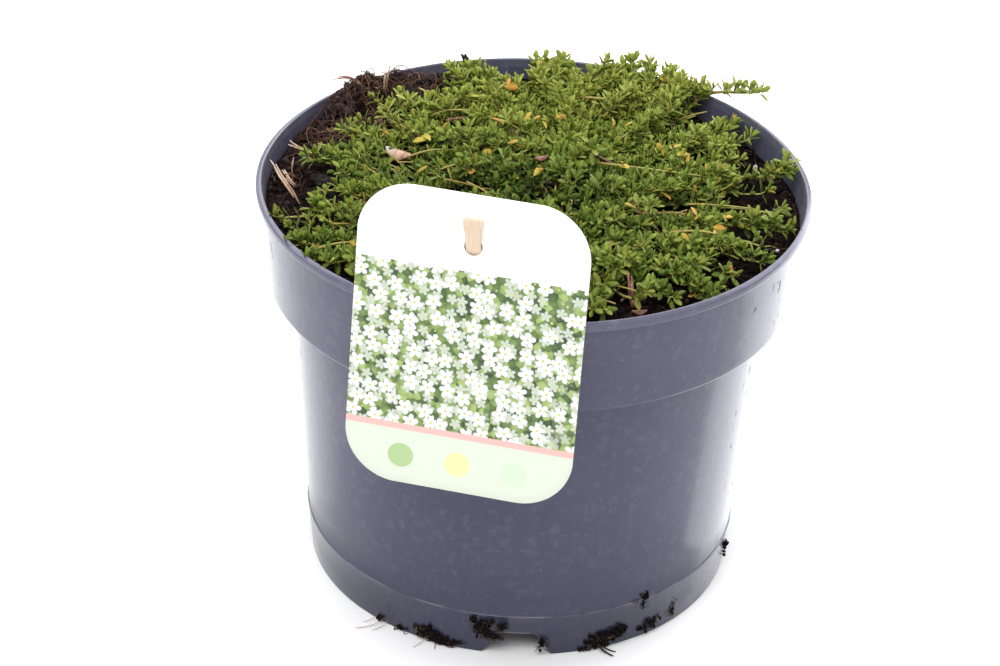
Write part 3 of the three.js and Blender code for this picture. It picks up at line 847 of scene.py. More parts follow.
def lay_flat(piece, *bodies):
    """Gives each of a piece's bodies a square cell of its own on the baking map. A body kind is its
    count and the flat places of its blocks of faces, in the order that the mesh holds them."""
    cells = math.ceil(math.sqrt(sum(count for count, *_ in bodies)))
    places, first = [], 0
    for count, *blocks in bodies:
        cell = first + np.arange(count)
        corner = np.stack([cell % cells, cell // cells], -1)[:, None, None]
        places += [((corner + 0.05 + 0.9 * flat) / cells).reshape(-1, 2) for flat in blocks]
        first += count
    layer = piece.data.uv_layers.new(name="OFBake")
    layer.data.foreach_set("uv", np.concatenate(places).astype(np.float32).ravel())


leaf_quads, leaf_caps = closed_faces(4, 4)
leaf_flats = flat_leaf(leaf_quads, np.arange(12)), flat_leaf(leaf_caps, np.arange(8))

bark, shader, pen = new_finish("wiry_stem", Roughness=0.55, Specular_IOR_Level=0.3)
age = read(pen, "age") + object_noise(pen, 160) * 0.3 - 0.15
age.ramp(
    (0.0, (0.30, 0.32, 0.07)), (0.35, (0.33, 0.27, 0.07)), (0.7, (0.25, 0.13, 0.045)),
    (1.0, (0.08, 0.042, 0.028)),
).feed(shader, "Base Color")

blade, shader, pen = new_finish("thyme_blade", Specular_IOR_Level=0.13)
mottle = object_noise(pen, 700, 2)
# The tone that shade_of gives a leaf holds painted shade and painted light besides the leaf's own colour.
colour = (read(pen, "tone") + (mottle - 0.5) * 0.12).ramp(
    (0.0, (0.013, 0.03, 0.008)), (0.3, (0.082, 0.128, 0.018)), (0.55, (0.192, 0.240, 0.038)),
    (0.82, (0.30, 0.335, 0.068)), (0.9, (0.40, 0.31, 0.05)), (1.0, (0.40, 0.20, 0.04)),
)
hue = read(pen, "age")
colour = (hue.rise(0.35, 0.0) * 0.3).mix(colour, (0.09, 0.21, 0.025))
colour = (hue.rise(0.75, 1.0) * 0.35).mix(colour, (0.30, 0.24, 0.03))
along, across = read(pen, "along"), read(pen, "across")
pale = across.rise(0.75, 1.0) * 0.14 + across.rise(0.28, 0.0) * 0.12
lit = pale.mix(colour, (0.33, 0.35, 0.10))
(along.rise(0.35, 0.0) * 0.35).mix(lit, (0.28, 0.30, 0.07)).feed(shader, "Base Color")
(0.48 + mottle * 0.2).feed(shader, "Roughness")

# What lies bare in the mat, as x, y and the half sizes of an ellipse.
bare_spots = np.array([
    [-47, 13, 5, 5], [-74.5, -6, 8, 10], [33.5, -66, 4.5, 4.5], [30, -78, 5, 4], [82, -26, 7, 5],
    [54, -8.5, 11, 4.6], [38, -8, 7, 3.2], [72, -1, 7, 4.6], [59, 63, 6, 5], [-29, 41, 5, 3], [11, -14, 5, 3],
    [70, -41, 8, 3.6], [66, -27, 6, 2.6], [77, 21, 9, 5], [24, -40, 6, 2.4], [-60, -18, 6, 3],
    [-66, -50, 6, 2.4], [48, 34, 5, 2.4], [61, 2, 9, 3], [-50, 75, 15, 12], [-80, -13, 6, 7], [-79, 36, 7, 6],
])
# Dips between the rows, as the same four numbers: only leaves close to the compost grow in them.
dips = np.array([
    [55, -12, 15, 8], [37, -12, 9, 6], [72, -4, 9, 7], [61, 60, 7, 8], [-30, 37, 8, 5], [12, -18, 6, 5],
    [68, -44, 9, 6], [66, -28, 8, 4], [68, 18, 8, 5], [24, -42, 8, 4], [-60, -22, 10, 6], [-68, -50, 9, 5],
    [-60, -37, 8, 4], [44, 33, 6, 4], [-40, 66, 7, 6], [-54, 4, 6, 5], [20, 30, 6, 3], [-20, -8, 12, 6],
    [4, -3, 8, 5], [-80, -22, 6, 11], [-50, 63, 14, 7], [57, 56, 8, 11], [-78, 22, 8, 8], [76, 12, 9, 5],
])


def grows_at(place, rng):
    """Whether leaves grow at each place: outside all bare ellipses, whose edges are ragged by chance,
    and outside the dips if it is high over the ground."""
    ovals = np.concatenate([bare_spots, dips])
    off = (place[:, None, :2] - ovals[:, :2]) / ovals[:, 2:]
    clear = (off**2).sum(-1) > rng.uniform(0.7, 1.3, (len(place), 1))
    low = place[:, 2] < ground(place[:, 0], place[:, 1]) + 5
    return clear[:, :len(bare_spots)].all(1) & (low | clear[:, len(bare_spots):].all(1))


def shade_of(foot, youth, rng):
    """A leaf's tone: painted shade deep in the mat, a painted shadow just behind the card, and painted light
    that makes it yellower on top and at the back.
    """
    x, y = foot[:, 0], foot[:, 1]
    # Painted shade and painted light: leaves low in the mat are darker, those high up and at the back paler.
    high = np.clip((foot[:, 2] - ground(x, y)) / 10, 0, 1)
    # Painted shadow of the card: leaves in an oval just behind it are darker.
    card_shadow = np.exp(-(((x + 5) / 36) ** 2) - ((y + 2) / 22) ** 2)
    tone = 0.12 + 0.29 * high + 0.18 * youth + 0.20 * np.clip(y / 70, 0, 1) - 0.22 * card_shadow
    tone = np.clip(tone + rng.normal(0, 0.06, len(x)), 0.0, 0.82)
    return np.where(rng.random(len(x)) < 0.008, rng.uniform(0.86, 1.0, len(x)), tone)


def grow(
    name, path, seed, node=None, tall=5.0, climb=5.0, reach=22, lush=1.0, last=0.75, tip=3.2, gap=2.9,
    free=False,
):
    """One stem along a path. tall is how far its upright tufts stand, climb how high its side runners
    rise and reach how far they go, and last is where along the stem the latest of them leaves it. A
    free one keeps its leaves over the bare places."""
    rng = np.random.default_rng(seed)
    span = path_length(path)
    nodes = max(6, round(span / gap))
    shares = np.linspace(0.05, 0.985, nodes) + rng.normal(0, 0.2 / nodes, nodes)
    place, heading = resample(path, shares)
    young = np.clip((shares - 0.6) / 0.4, 0, 1)
    sets = [pairs_along(place, heading, np.arange(nodes), leaf_length * (1.05 - 0.25 * young), rng)]

    count = max(2, round(span * (0.035 + 0.035 * lush)))
    runners = side_runners(path, count, reach, climb, last, rng)
    runner_way = unit(np.gradient(runners, axis=1))
    place_2, heading_2 = runners[:, 1:].reshape(-1, 3), runner_way[:, 1:].reshape(-1, 3)
    order = np.tile(np.arange(5), count)
    sets.append(pairs_along(place_2, heading_2, order, np.full(len(place_2), 0.88 * leaf_length), rng))

    outer = np.clip((1.03 - shares) / (0.12 + 0.3 * (1 - lush)), 0, 1)
    chance = np.append((0.5 + 0.45 * lush) * outer, np.full(len(place_2), 0.35 + 0.3 * lush))
    picks = np.repeat(np.arange(len(chance)), 1 + (np.arange(len(chance)) < nodes * 0.45))
    picks = picks[rng.random(len(picks)) < chance[picks]]
    base, lead = np.concatenate([place, place_2])[picks], np.concatenate([heading, heading_2])[picks]
    side = unit(np.cross(lead, UP))
    lean = rng.uniform(-0.65, 0.65, (len(base), 1))
    way = unit(UP * 0.9 + side * lean + lead * rng.uniform(0.05, 0.55, (len(base), 1)))
    height = rng.uniform(1.4, tall, len(base))
    tips = np.concatenate([runners[:, -1], path[-1:]])
    tip_way = unit(np.concatenate([runner_way[:, -1], heading[-1:]]) + UP * 0.5)
    base, way = np.concatenate([base, tips]), np.concatenate([way, tip_way])
    height = np.append(height, np.full(len(tips), tip))
    kept = free | grows_at(base + way * height[:, None], rng)
    base, way, height = base[kept], way[kept], height[kept]
    sets.append(tuft_leaves(base, way, height, rng))

    leaves = [np.concatenate(parts) for parts in zip(*sets)]
    kept = free | grows_at(leaves[0], rng)
    foot, along, face, length, youth = (part[kept] for part in leaves)
    along = turn_inward(foot, along, length)
    face = square_to(along, face)
    count = len(foot)
    width, cup = length * rng.uniform(0.185, 0.245, count), rng.uniform(0.1, 0.45, count)
    leaves = leaf_bodies(foot, along, face, length, width, cup, rng.uniform(-0.12, 0.15, count))
    thick = np.interp(np.linspace(0, 1, len(path)), [0, 0.7, 1], [0.72, 0.5, 0.3])
    shoots = base[:, None] + way[:, None] * (height[:, None] * [0, 0.5, 1])[..., None]
    main = tubes(path[None], thick[None], 6)
    sides = tubes(runners, np.linspace(0.42, 0.26, 6)[None].repeat(len(runners), 0), 5)
    tufts = tubes(shoots, np.array([[0.3, 0.26, 0.18]]).repeat(len(base), 0), 4)
    points, *blocks = joined(leaves, main, sides, tufts)

    none = np.zeros(len(points) - count * leaf_points)
    old_to_young = np.append(np.repeat(np.linspace(1.0, 0.1, len(path)), 6), [1.0, 0.1])
    hues = np.repeat(rng.random(count), leaf_points)
    ages = [hues, old_to_young, np.full(len(sides[0]), 0.45), np.full(len(tufts[0]), 0.2)]
    tone = np.repeat(shade_of(foot, youth, rng), leaf_points)
    stem = add_piece(
        name, blade, "thyme_leaf", points, *blocks, node=node,
        tone=np.append(tone, none), age=np.concatenate(ages),
        along=np.append(np.tile(leaf_along, count), none), across=np.append(np.tile(leaf_across, count), none),
    )
    lay_flat(
        stem, (count, *leaf_flats), (1, *flat_tube(len(path), 6)), (len(runners), *flat_tube(6, 5)),
        (len(base), *flat_tube(3, 4)),
    )
    stem.data.materials.append(bark)
    woody = np.repeat([0] * 2 + [1] * 6, [len(block) for block in blocks])
    stem.data.polygons.foreach_set("material_index", woody)


for side, first, last, sign, offset in (("right", 74, -73, 1, 3), ("left", 106, 248, -1, 5)):
    for i in range(per_side):
        share = i / (per_side - 1)
        y0 = limb_back - offset + share * (limb_front - limb_back + 2 * offset)
        start = np.array([limb_at(y0) + sign * (limb_radius + stem_gap), y0])
        azimuth = first + share * (last - first) + 1.5 * vary(i, sign)
        edge = np.interp(azimuth, mat_edge[:, 0], mat_edge[:, 1])
        path = trail(start, np.array(polar(azimuth, edge)), 0.6 + 0.8 * vary(i, 5 + sign), 26)
        path[:, 1] += 0.9 * np.sin(np.linspace(0, math.pi, 26)) * np.sin(np.linspace(0, 7, 26) + i)
        back = np.clip((y0 + 60) / 130, 0, 1)
        full = math.exp(-(((azimuth - 64) / 34) ** 2))
        lush = np.clip((edge - 73) / 12, 0, 1) if side == "right" else 0.75
        grow(
            f"leafy_stem_{side}_{i + 1:02d}", path, 100 * (sign + 2) + i, f"thyme_stem_{side}_{i + 1:02d}",
            tall=4.2 + 1.8 * back + 0.8 * full, climb=3.5 + 4 * back + 3 * full,
            lush=max(lush, full), last=0.8 if azimuth > 188 or full > 0.5 else 0.62,
        )

for number, (x0, x1) in enumerate(((2.4, -3), (5.4, 12)), 1):
    path = trail(np.array([x0, limb_front - 0.8]), np.array([x1, -85]), 0.5, 20)
    node = f"thyme_stem_front_{number}"
    grow(f"leafy_stem_front_{number}", path, 500 + number, node, tall=4, climb=2, reach=12)

over_rim = np.array([
    [48.5, 62.5, 136.9], [54, 66.5, 141.5], [59, 69, 146], [65, 68.7, 147.6], [72, 64.6, 149.6],
    [78, 62.2, 151.2],
])
share = np.linspace(0, 5, 21)
path = np.stack([np.interp(share, np.arange(6), over_rim[:, k]) for k in range(3)], -1)
for _ in range(2):
    path[1:-1] = (path[:-2] + 2 * path[1:-1] + path[2:]) / 4
grow(
    "leafy_stem_over_rim", path, 600, "thyme_stem_over_rim",
    tall=2.5, climb=0.5, reach=5, lush=0.8, last=0.35, tip=1.8, gap=3.2,
)

# Younger growth covers the limb: leafy shoots along both its sides, some of them beyond its back end.
# More of it fills the mat up to the wall: at the left, at the back right and in rows at the right.
young_growth = [
    (4, -62, -4, 2), (0, -60, 3, 3), (46, -6, -3, 3), (44, -14, 4, 4), (36, 80, -4, 4), (40, 82, 5, 4),
    (20, 60, 0, 5),
]
for number, (y0, y1, shift, rise) in enumerate(young_growth, 1):
    y = np.linspace(y0, y1, 24)
    x = limb_at(np.clip(y, limb_front, limb_back)) + shift * np.sin(np.linspace(0.3, math.pi * 0.8, 24))
    lift = limb_rise + limb_radius + rise * np.sin(np.linspace(0, math.pi / 2, 24))
    path = np.c_[x, y, ground(x, y) + lift]
    grow(f"leafy_shoots_{number}", path, 700 + number, tall=5.2, climb=4, reach=15, lush=0.6, last=0.95)
runners = [
    (-46, -14, -84, -29, 5), (-40, -30, -78, -46, 5), (-38, -42, -71, -58, 5), (-50, 8, -82, 16, 5),
    (24, 44, 45, 76, 12), (32, 34, 56, 69, 12), (14, 60, 32, 83, 9), (40, 24, 68, 52, 8), (36, 52, 50, 72, 13),
    (4, 60, -1, 83, 9), (46, 16, 86, 13, 8), (44, -19, 85, -19, 7), (48, -31, 76, -38, 5.5),
    (45, -55, 63, -61, 4),
]
for number, (x0, y0, x1, y1, up) in enumerate(runners, 1):
    t = np.linspace(0, 1, 20)
    x, y = x0 + (x1 - x0) * t, y0 + (y1 - y0) * t + 1.5 * np.sin(t * 4 + number)
    path = np.c_[x, y, ground(x, y) + 4 + (up - 4) * t + 1.2 * np.sin(t * 3 + number)]
    free = number > 10
    grow(
        f"leafy_runner_{number}", path, 720 + number,
        tall=4.2, climb=2.5, reach=12, lush=0.7, last=0.9, free=free,
    )

# Old leaves that have turned yellow lie on top of the mat, broad and almost flat.
yellow_places = np.array([
    [-53.5, 28.5], [-12, 42.5], [-3.7, 46.4], [-16.9, 19.7], [-15.7, 14.5], [-26.7, 5.6], [-10.8, 73.6],
    [0.7, 6.9], [-38.7, 4.4], [44.6, -5.1], [29.9, 17], [43.1, 27.2], [50.8, 24.2], [26.7, 46.4],
    [62.1, -26.3], [2.8, 41.7], [9, 47.7], [54, -16], [64.3, -19.2], [-40.5, 26], [47, 30], [-7, 44],
    [-20, 61], [46, 80],
])
rng = np.random.default_rng(81)
yellow_places = np.concatenate([yellow_places, yellow_places + rng.normal(0, 2.5, yellow_places.shape)])
count = len(yellow_places)
above = 2.0 + 3.2 * np.clip(yellow_places[:, 1] / 70, 0, 1)
foot = np.c_[yellow_places[:, 0], yellow_places[:, 1] - 1.84 * above, rim + above]
heading = rng.uniform(0, full_turn, count)
along = unit(np.c_[np.cos(heading), np.sin(heading), rng.uniform(-0.3, 1.0, count)])
face = unit(np.c_[rng.normal(0, 0.6, count), rng.normal(-0.6, 0.6, count), np.ones(count)])
length = rng.uniform(3.4, 5.8, count)
width, cup = length * rng.uniform(0.17, 0.27, count), rng.uniform(0.1, 0.7, count)
droop = rng.uniform(-0.1, 0.3, count)
foot = foot - along * length[:, None] / 2
leaves = leaf_bodies(foot, along, square_to(along, face), length, width, cup, droop)
half = np.full(count * leaf_points, 0.5)
old_leaves = add_piece(
    "yellowed_leaves", blade, "thyme_leaf", *leaves, age=half, along=np.tile(leaf_along, count), across=half,
    tone=np.repeat(rng.uniform(0.84, 0.98, count), leaf_points),
)
lay_flat(old_leaves, (count, *leaf_flats))


def through(points, t):
    """A polynomial through a few points, at shares t of their order."""
    at = np.linspace(0, 1, len(points))
    return np.polyval(np.polyfit(at, points, len(points) - 1), t[..., None])


# Bare wiry runners that lie on top of the mat, as x, y and height against the rim.
bare_runners = [
    [[21, 14.4, 1.5], [36, 9.4, 3], [56.6, 8.6, 1.5]], [[45.8, -32.3, 1.5], [56, -33, 3], [67.5, -33, 1]],
    [[-12, 4.6, 2], [-7.7, 11.5, 3.5], [-3, 19.3, 2.5]], [[-37, 42.7, 2], [-29, 45, 3.5], [-18.5, 44, 2.5]],
    [[-66, -29.5, 0.5], [-59.6, -25.5, 2], [-54, -21.5, 1]], [[-44, 13, 1], [-38, 15, 2.5], [-33, 17.7, 2]],
    [[-32.5, 4, 1.5], [-27, 6, 2.8], [-22.4, 8.6, 2]], [[52, -9.5, 0], [62, -9, 0], [75, -5, -3]],
    [[-74, -55, 0], [-66, -51, 1.5], [-59.8, -48, 1]], [[12, 60, 3], [22, 57, 4.5], [34, 58, 3]],
]
lines = np.stack([through(line, np.linspace(0, 1, 12)) for line in bare_runners]) + [0, 0, rim - 0.8]
wide = np.linspace(0.38, 0.24, 12)[None].repeat(len(lines), 0)
ages = np.append(np.repeat(np.linspace(0.55, 0.15, 12), 6), [0.55, 0.15])
add_piece("bare_runners", bark, "thyme_leaf", *tubes(lines, wide, 6), age=np.tile(ages, len(lines)))


# The label: a thin white plastic card with round corners and a punched hole, leaning on the lip. Its
# print is plain: a bed of white five-petalled flowers over a pale green band, with three discs.
card_width, card_height, card_corner, card_thickness = 76, 105, 18, 0.5
card_turn, card_lean, card_roll = -12.2, -6.5, 0.5
card_aside, card_below, lip_gap, lip_radius = 1.3, 9, 0.7, 95
hole_up, hole_radius = 34.6, 3.0


def turned(points, about, degrees):
    """Points turned about the x, y or z axis through the origin, by the right hand."""
    return points @ np.array(Matrix.Rotation(math.radians(degrees), 3, about)).T


def on_lip(points):
    """Points of the card's own frame (x right, y back, z up from its middle) where it leans on the lip."""
    points = turned(turned(points + [card_aside, 0, -card_below], "Y", card_roll), "X", card_lean)
    return turned(points + [0, -(lip_radius + lip_gap), rim], "Z", card_turn)


quarter = np.radians(np.arange(0, 90, 5))
corner = card_corner * np.c_[np.cos(quarter), np.sin(quarter), quarter * 0]
half_size = np.array([card_width, card_height]) / 2 - card_corner
outline = np.concatenate([
    turned(corner, "Z", 90 * k)[:, :2] + half_size * sign
    for k, sign in enumerate(([1, 1], [-1, 1], [-1, -1], [1, -1]))
]) - [0, hole_up]
bearing = np.arctan2(outline[:, 1], outline[:, 0]) % full_turn
order = np.argsort(bearing)
around = np.sort(np.concatenate([bearing, np.linspace(0, full_turn, 60, endpoint=False)]))
seen = np.stack([np.interp(around, bearing[order], outline[order, k], period=full_turn) for k in (0, 1)], -1)
rim_of_hole = hole_radius * np.c_[np.cos(around), np.sin(around)]
share = np.array([0, 0.004, 0.04, 0.12, 0.25, 0.4, 0.55, 0.7, 0.85, 0.96, 0.997, 1])[:, None, None]
face = rim_of_hole + share * (seen - rim_of_hole)
# Both faces in one loop, a little nearer to each other at the card's edge and at the hole's.
eased = np.r_[0.25, np.zeros(10), 0.25]
depth = -card_thickness * np.append(1 - eased, eased)[:, None, None]
both_sides = np.concatenate([face, face[::-1]])
sheet = np.concatenate([both_sides, np.broadcast_to(depth, (24, len(around), 1))], -1)
sheet = sheet.reshape(-1, 3)[:, [0, 2, 1]] + [0, 0, hole_up]


def flowers(pen, u, v, pitch, size, shift):
    """Masks of the petals and of the middles of flowers on a jittered lattice: a flower's edge is at
    its size times a power of |cos 2.5a|, where a is the bearing from its middle plus a chance turn."""
    where = pen.node("ShaderNodeCombineXYZ", {}, {0: (u + shift) * (1 / pitch), 1: (v + shift) * (1 / pitch)})
    inputs = {"Vector": where, "Scale": 1.0, "Randomness": 0.6}
    cells = pen.node("ShaderNodeTexVoronoi", {"voronoi_dimensions": "2D"}, inputs)
    from_middle = pen.node("ShaderNodeVectorMath", {"operation": "SUBTRACT"}, {0: where, 1: cells.output(2)})
    parts = pen.node("ShaderNodeSeparateXYZ", {}, {"Vector": from_middle})
    chance = pen.parts(cells.output(1))
    bearing = pen.math("ARCTAN2", parts.output(1), parts) + chance * 6.28
    lobes = pen.math("ABSOLUTE", pen.math("COSINE", bearing * 2.5)) ** 0.6
    edge = (0.32 + 0.68 * lobes) * (size / pitch)
    return (edge - cells).rise(0, 0.05), cells.rise(0.2 * size / pitch, 0.13 * size / pitch), chance


def below(v, edge):
    """1 below an edge of the print and 0 above it."""
    return v.rise(edge + 0.15, edge - 0.15)


glossy_card, shader, pen = new_finish("printed_plastic_card", Roughness=0.32, IOR=1.45)
u, v, front_side = read(pen, "card_x"), read(pen, "card_y"), read(pen, "card_front")
flat_place = pen.node("ShaderNodeCombineXYZ", {}, {0: u, 1: v})
leafy = pen.node("ShaderNodeTexVoronoi", {"voronoi_dimensions": "2D"}, {"Vector": flat_place, "Scale": 0.42})
picture = (pen.parts(leafy.output(1)) - leafy * 0.35 + 0.2).ramp(
    (0.0, (0.025, 0.05, 0.02)), (0.5, (0.12, 0.19, 0.055)), (1.0, (0.32, 0.42, 0.14)),
)
for pitch, size, shift, petal in ((4.4, 2.0, 60, (0.48, 0.53, 0.46)), (6.2, 2.9, 100, (0.72, 0.73, 0.73))):
    petals, middle, chance = flowers(pen, u, v, pitch, size, shift)
    picture = (petals * chance.output(2).rise(0.05, 0.12)).mix(picture, petal)
    picture = (middle * petals).mix(picture, (0.52, 0.52, 0.16))
top_edge, band_edge, line_edge = 26, -31, -33.2
disc_down, disc_radius = 42.5, 4.4
band = below(v, band_edge).mix(picture, (0.74, 0.42, 0.39))
band = below(v, line_edge).mix(band, (0.60, 0.65, 0.55))
for place, tint in ((-19, (0.36, 0.50, 0.24)), (0, (0.74, 0.66, 0.34)), (19, (0.55, 0.66, 0.50))):
    across, up = u - place, v + disc_down
    away = (across * across + up * up) ** 0.5
    band = away.rise(disc_radius, disc_radius - 0.25).mix(band, tint)
(below(v, top_edge) * front_side).mix((0.85, 0.85, 0.84), band).feed(shader, "Base Color")
add_piece(
    "printed_card", glossy_card, "card_plastic", on_lip(sheet), grid_faces(24, len(around), closed=True),
    node="label_card", sharp=40, card_x=sheet[:, 0], card_y=sheet[:, 2], card_front=sheet[:, 1] < -0.3,
)


# The stick: a flat birch stick with a wider rounded head, pushed into the compost through the card's
# hole. Its edges are eased, and fine grain runs along it.
stick_half, stick_lean = 0.65, 21
stations = np.array([
    [-86.4, 0.8], [-86, 1.5], [-84, 2.0], [-80.7, 2.5], [-60, 2.5], [-40, 2.5], [-20, 2.5], [0, 2.5],
    [4, 2.55], [7, 2.75], [9.5, 3.1], [11.5, 3.4], [12.8, 3.45], [13.6, 3.2], [14.1, 2.7], [14.35, 1.8],
])


def squared(wave, power):
    """A sine or cosine raised to a power with its sign kept, for a section between round and square."""
    return np.sign(wave) * np.abs(wave) ** power


a = np.linspace(0, full_turn, 20, endpoint=False)
thick = stick_half * np.r_[0.7, np.ones(13), 0.85, 0.6][:, None] * squared(np.sin(a), 0.45)
wide = 0.9 * (np.maximum(stations[:, :1], 0) / 14) ** 1.5 + stations[:, 1:] * squared(np.cos(a), 0.3)
rings = np.stack(np.broadcast_arrays(wide, thick, stations[:, :1]), -1)
points, *faces = closed_skin(rings, [0, 0, -86.6], [0.9, 0, 14.45])
hole_middle = on_lip(np.array([[0, -card_thickness / 2, hole_up]]))
placed = turned(turned(points, "X", stick_lean), "Z", card_turn) + hole_middle

birch, shader, pen = new_finish("birch_stick", Roughness=0.6)
where = pen.node("ShaderNodeCombineXYZ", {}, {0: read(pen, "stick_x"), 1: read(pen, "stick_z") * 0.05})
grain = pen.node("ShaderNodeTexNoise", {}, {"Vector": where, "Scale": 2.6, "Detail": 4.0})
grain.rise(0.3, 0.7).mix((0.66, 0.50, 0.36), (0.75, 0.60, 0.46)).feed(shader, "Base Color")
grain.emboss(shader, 0.3, 0.0002)
add_piece(
    "wooden_stick", birch, "stick_wood", placed, *faces, node="label_stick", sharp=50,
    stick_x=points[:, 0], stick_z=points[:, 2],
)


# Loose litter on the compost: dry straws, a black twig over the lip, a broken reddish stub, and a few
# twiglets in the mat. Each is a bundle of thin woody strands through the same points.
def add_strands(name, finish, slot, seed, radius, points, strands=1, splay=0, node=None):
    """A bundle: each strand follows a stretch of the line through x, y and height over the ground, set
    off by part of the radius and more towards its end, with a radius that waves and tapers."""
    rng = np.random.default_rng(seed)
    loose = strands > 1
    t = np.linspace(0, 1, 16)
    reach = rng.uniform([0, 0.72], [0.22, 1.0], (strands, 2)) * loose + [0, 1 - loose]
    stretch = reach[:, :1] + (reach[:, 1:] - reach[:, :1]) * t
    line = through(points, stretch)
    line[..., 2] += ground(line[..., 0], line[..., 1])
    turn = np.arange(strands) * full_turn / strands + rng.uniform(0, 1)
    aside = np.stack([np.cos(turn), np.sin(turn), 0.6 * np.sin(turn + 1)], -1) * 0.6 * radius * loose
    paths = line + aside[:, None] * (0.8 + splay * stretch[..., None] ** 3)
    paths = paths + np.cumsum(rng.normal(0, 0.05 * radius, (strands, 16, 3)), 1)
    taper = np.interp(t, [0, 0.1, 0.8, 1], [0.6, 1, 0.85, 0.4])
    width = radius / strands**0.5 * rng.uniform(0.75, 1.15, (strands, 16)) * taper
    add_piece(
        name, finish, slot, *tubes(paths, width, 7), node=node,
        along=np.concatenate([np.repeat(stretch, 7, axis=1), reach], 1),
        tone=np.repeat(rng.random(strands), 16 * 7 + 2),
    )


def woody(name, noise, edges, dark, light, bump, **constants):
    """A finish that goes from dark to light between two edges of noise, which is also its bump."""
    finish, shader, pen = new_finish(name, **constants)
    stripes = object_noise(pen, *noise)
    stripes.rise(*edges).mix(dark, light).feed(shader, "Base Color")
    stripes.emboss(shader, *bump)
    return finish


straw, shader, pen = new_finish("dry_straw", Roughness=0.6)
stripes = object_noise(pen, 900, 3, (1, 1, 0.3))
paleness = read(pen, "along") + (stripes - 0.5) * 0.8 + read(pen, "tone") * 0.4 - 0.25
paleness.ramp(
    (0.0, (0.11, 0.055, 0.03)), (0.35, (0.26, 0.15, 0.085)), (0.6, (0.42, 0.30, 0.22)),
    (1.0, (0.62, 0.52, 0.47)),
).feed(shader, "Base Color")
stripes.emboss(shader, 0.5, 0.0003)
reddish = woody(
    "reddish_twig", (700, 4, (1, 1, 0.4)), (0.3, 0.7), (0.10, 0.042, 0.028), (0.34, 0.17, 0.11),
    (0.7, 0.0004), Roughness=0.7,
)
blackened = woody(
    "blackened_bark", (500, 5), (0.4, 0.75), (0.008, 0.006, 0.007), (0.045, 0.033, 0.033),
    (0.9, 0.0006), Roughness=0.9, Specular_IOR_Level=0.1,
)

# Each row: name, finish, slot, seed, radius, points, and for bundles the strands, their splay and node.
litter = [
    ("long_straw", straw, "dry_straw", 31, 0.8, [[-79.3, -12.5, 1.1], [-86, 0.5, 2.9], [-92.3, 10.5, 6.9]],
     4, 1.3, "straw_left_long"),
    ("short_straw", straw, "dry_straw", 32, 0.65, [[-81, -2.5, 1], [-84, 2.5, 1.4], [-87.5, 9, 1.4]],
     3, 1.6, "straw_left_short"),
    ("back_straw", straw, "dry_straw", 33, 0.55, [[-79, 26.5, 1], [-83.5, 26.2, 2.6], [-87.3, 25.6, 5.2]],
     2, 2.2, "straw_back_left"),
    ("heap_straw", straw, "dry_straw", 34, 0.6, [[-55, 61, 0.35], [-54.6, 61.5, 6], [-54, 62.5, 13]],
     2, 2.0, "straw_in_heap"),
    ("broken_stub", reddish, "dry_straw", 35, 1.1, [[34, -66, 0.15], [33.4, -65, 5], [32.4, -62, 12]],
     3, 0.3, "dry_stub_front"),
    ("black_twig", blackened, "dark_bark", 36, 1.3,
     [[-21.5, 83.5, 1.2], [-25, 86.5, 4.2], [-27, 88.3, 8.5], [-30.5, 87, 13]], 3, 0.2, "twig_at_back"),
    ("stub_side_twig", reddish, "dry_straw", 37, 0.55, [[30, -66, 2.5], [33, -65.3, 3.8], [36, -66.5, 1.5]]),
    ("stub_root", reddish, "dry_straw", 38, 0.6, [[36.5, -72, 0.8], [34.8, -69, 2.2], [33.8, -66, 1.2]]),
]
twiglets = [
    [[12, 56, 7], [14, 51, 9.5], [13, 46, 9]], [[-11, 39, 7], [-8, 36, 8.5], [-6, 31, 8]],
    [[20, 24, 7], [23, 20, 8.5], [27, 18, 8]], [[9, -4, 6], [12, -8, 9], [13, -15, 9]],
    [[-33, 44, 7], [-29, 42, 8.5], [-24, 43, 8]], [[40, 52, 6], [44, 50, 8], [49, 51, 7.5]],
]
for number, line in enumerate(twiglets, 1):
    litter.append((f"twiglet_{number}", reddish, "thyme_wood", 40 + number, 0.45, line))
litter += [
    ("heap_twig", reddish, "dry_straw", 53, 0.5, [[-63, 59, 2], [-68.5, 61, 7.2], [-73.5, 62.6, 9]], 2, 3.0),
    ("root_over_rim", straw, "dry_straw", 51, 0.32,
     [[79, 22, 4], [86.6, 24, 9.5], [90.9, 27, 10.2], [94.6, 28.5, 10.3]]),
    ("white_root", straw, "dry_straw", 52, 0.3, [[-82.5, 1, 1], [-83, 1.8, 6], [-82.6, 3.5, 9.5]]),
]
for row in litter:
    add_strands(*row)


# A dead leaf, dry and curled into a pinkish shell with a pale end, lies on the mat at the left, smaller
# ones lie about, and a flat chip of dark bark lies on the compost beside the straws.
def add_shell(name, finish, middle, half_length, half_width, curl, turn, node=None):
    """A curled leaf: at each share s of its length a thin arc of the angle curl, as wide as sin(pi s),
    outer side and inner side in one loop, with a wave along the edges."""
    s = np.linspace(0.04, 0.96, 16)[:, None]
    t = np.linspace(-1, 1, 11)
    t, skin = np.r_[t, t[::-1]], np.r_[np.ones(11), np.zeros(11)]
    wide = half_width * np.sin(math.pi * s) ** 0.6
    bow = wide * (1 + 0.12 * np.sin(9 * s + 3 * t) * np.abs(t)) - 0.3 * (1 - skin)
    x = half_length * (2 * s - 1) + 0 * t
    y = bow * np.sin(curl * t)
    z = bow * (np.cos(curl * t) - 0.4) + 0.25 * half_length * (2 * s - 1) ** 2
    ends = [[-half_length, 0, 0.25 * half_length], [half_length, 0, 0.25 * half_length]]
    points, *faces = closed_skin(np.stack([x, y, z], -1), *ends)
    along = np.append(np.repeat(s[:, 0], 22), [0, 1])
    add_piece(name, finish, "dry_leaf", turned(points, "Z", turn) + middle, *faces, node=node, along=along)


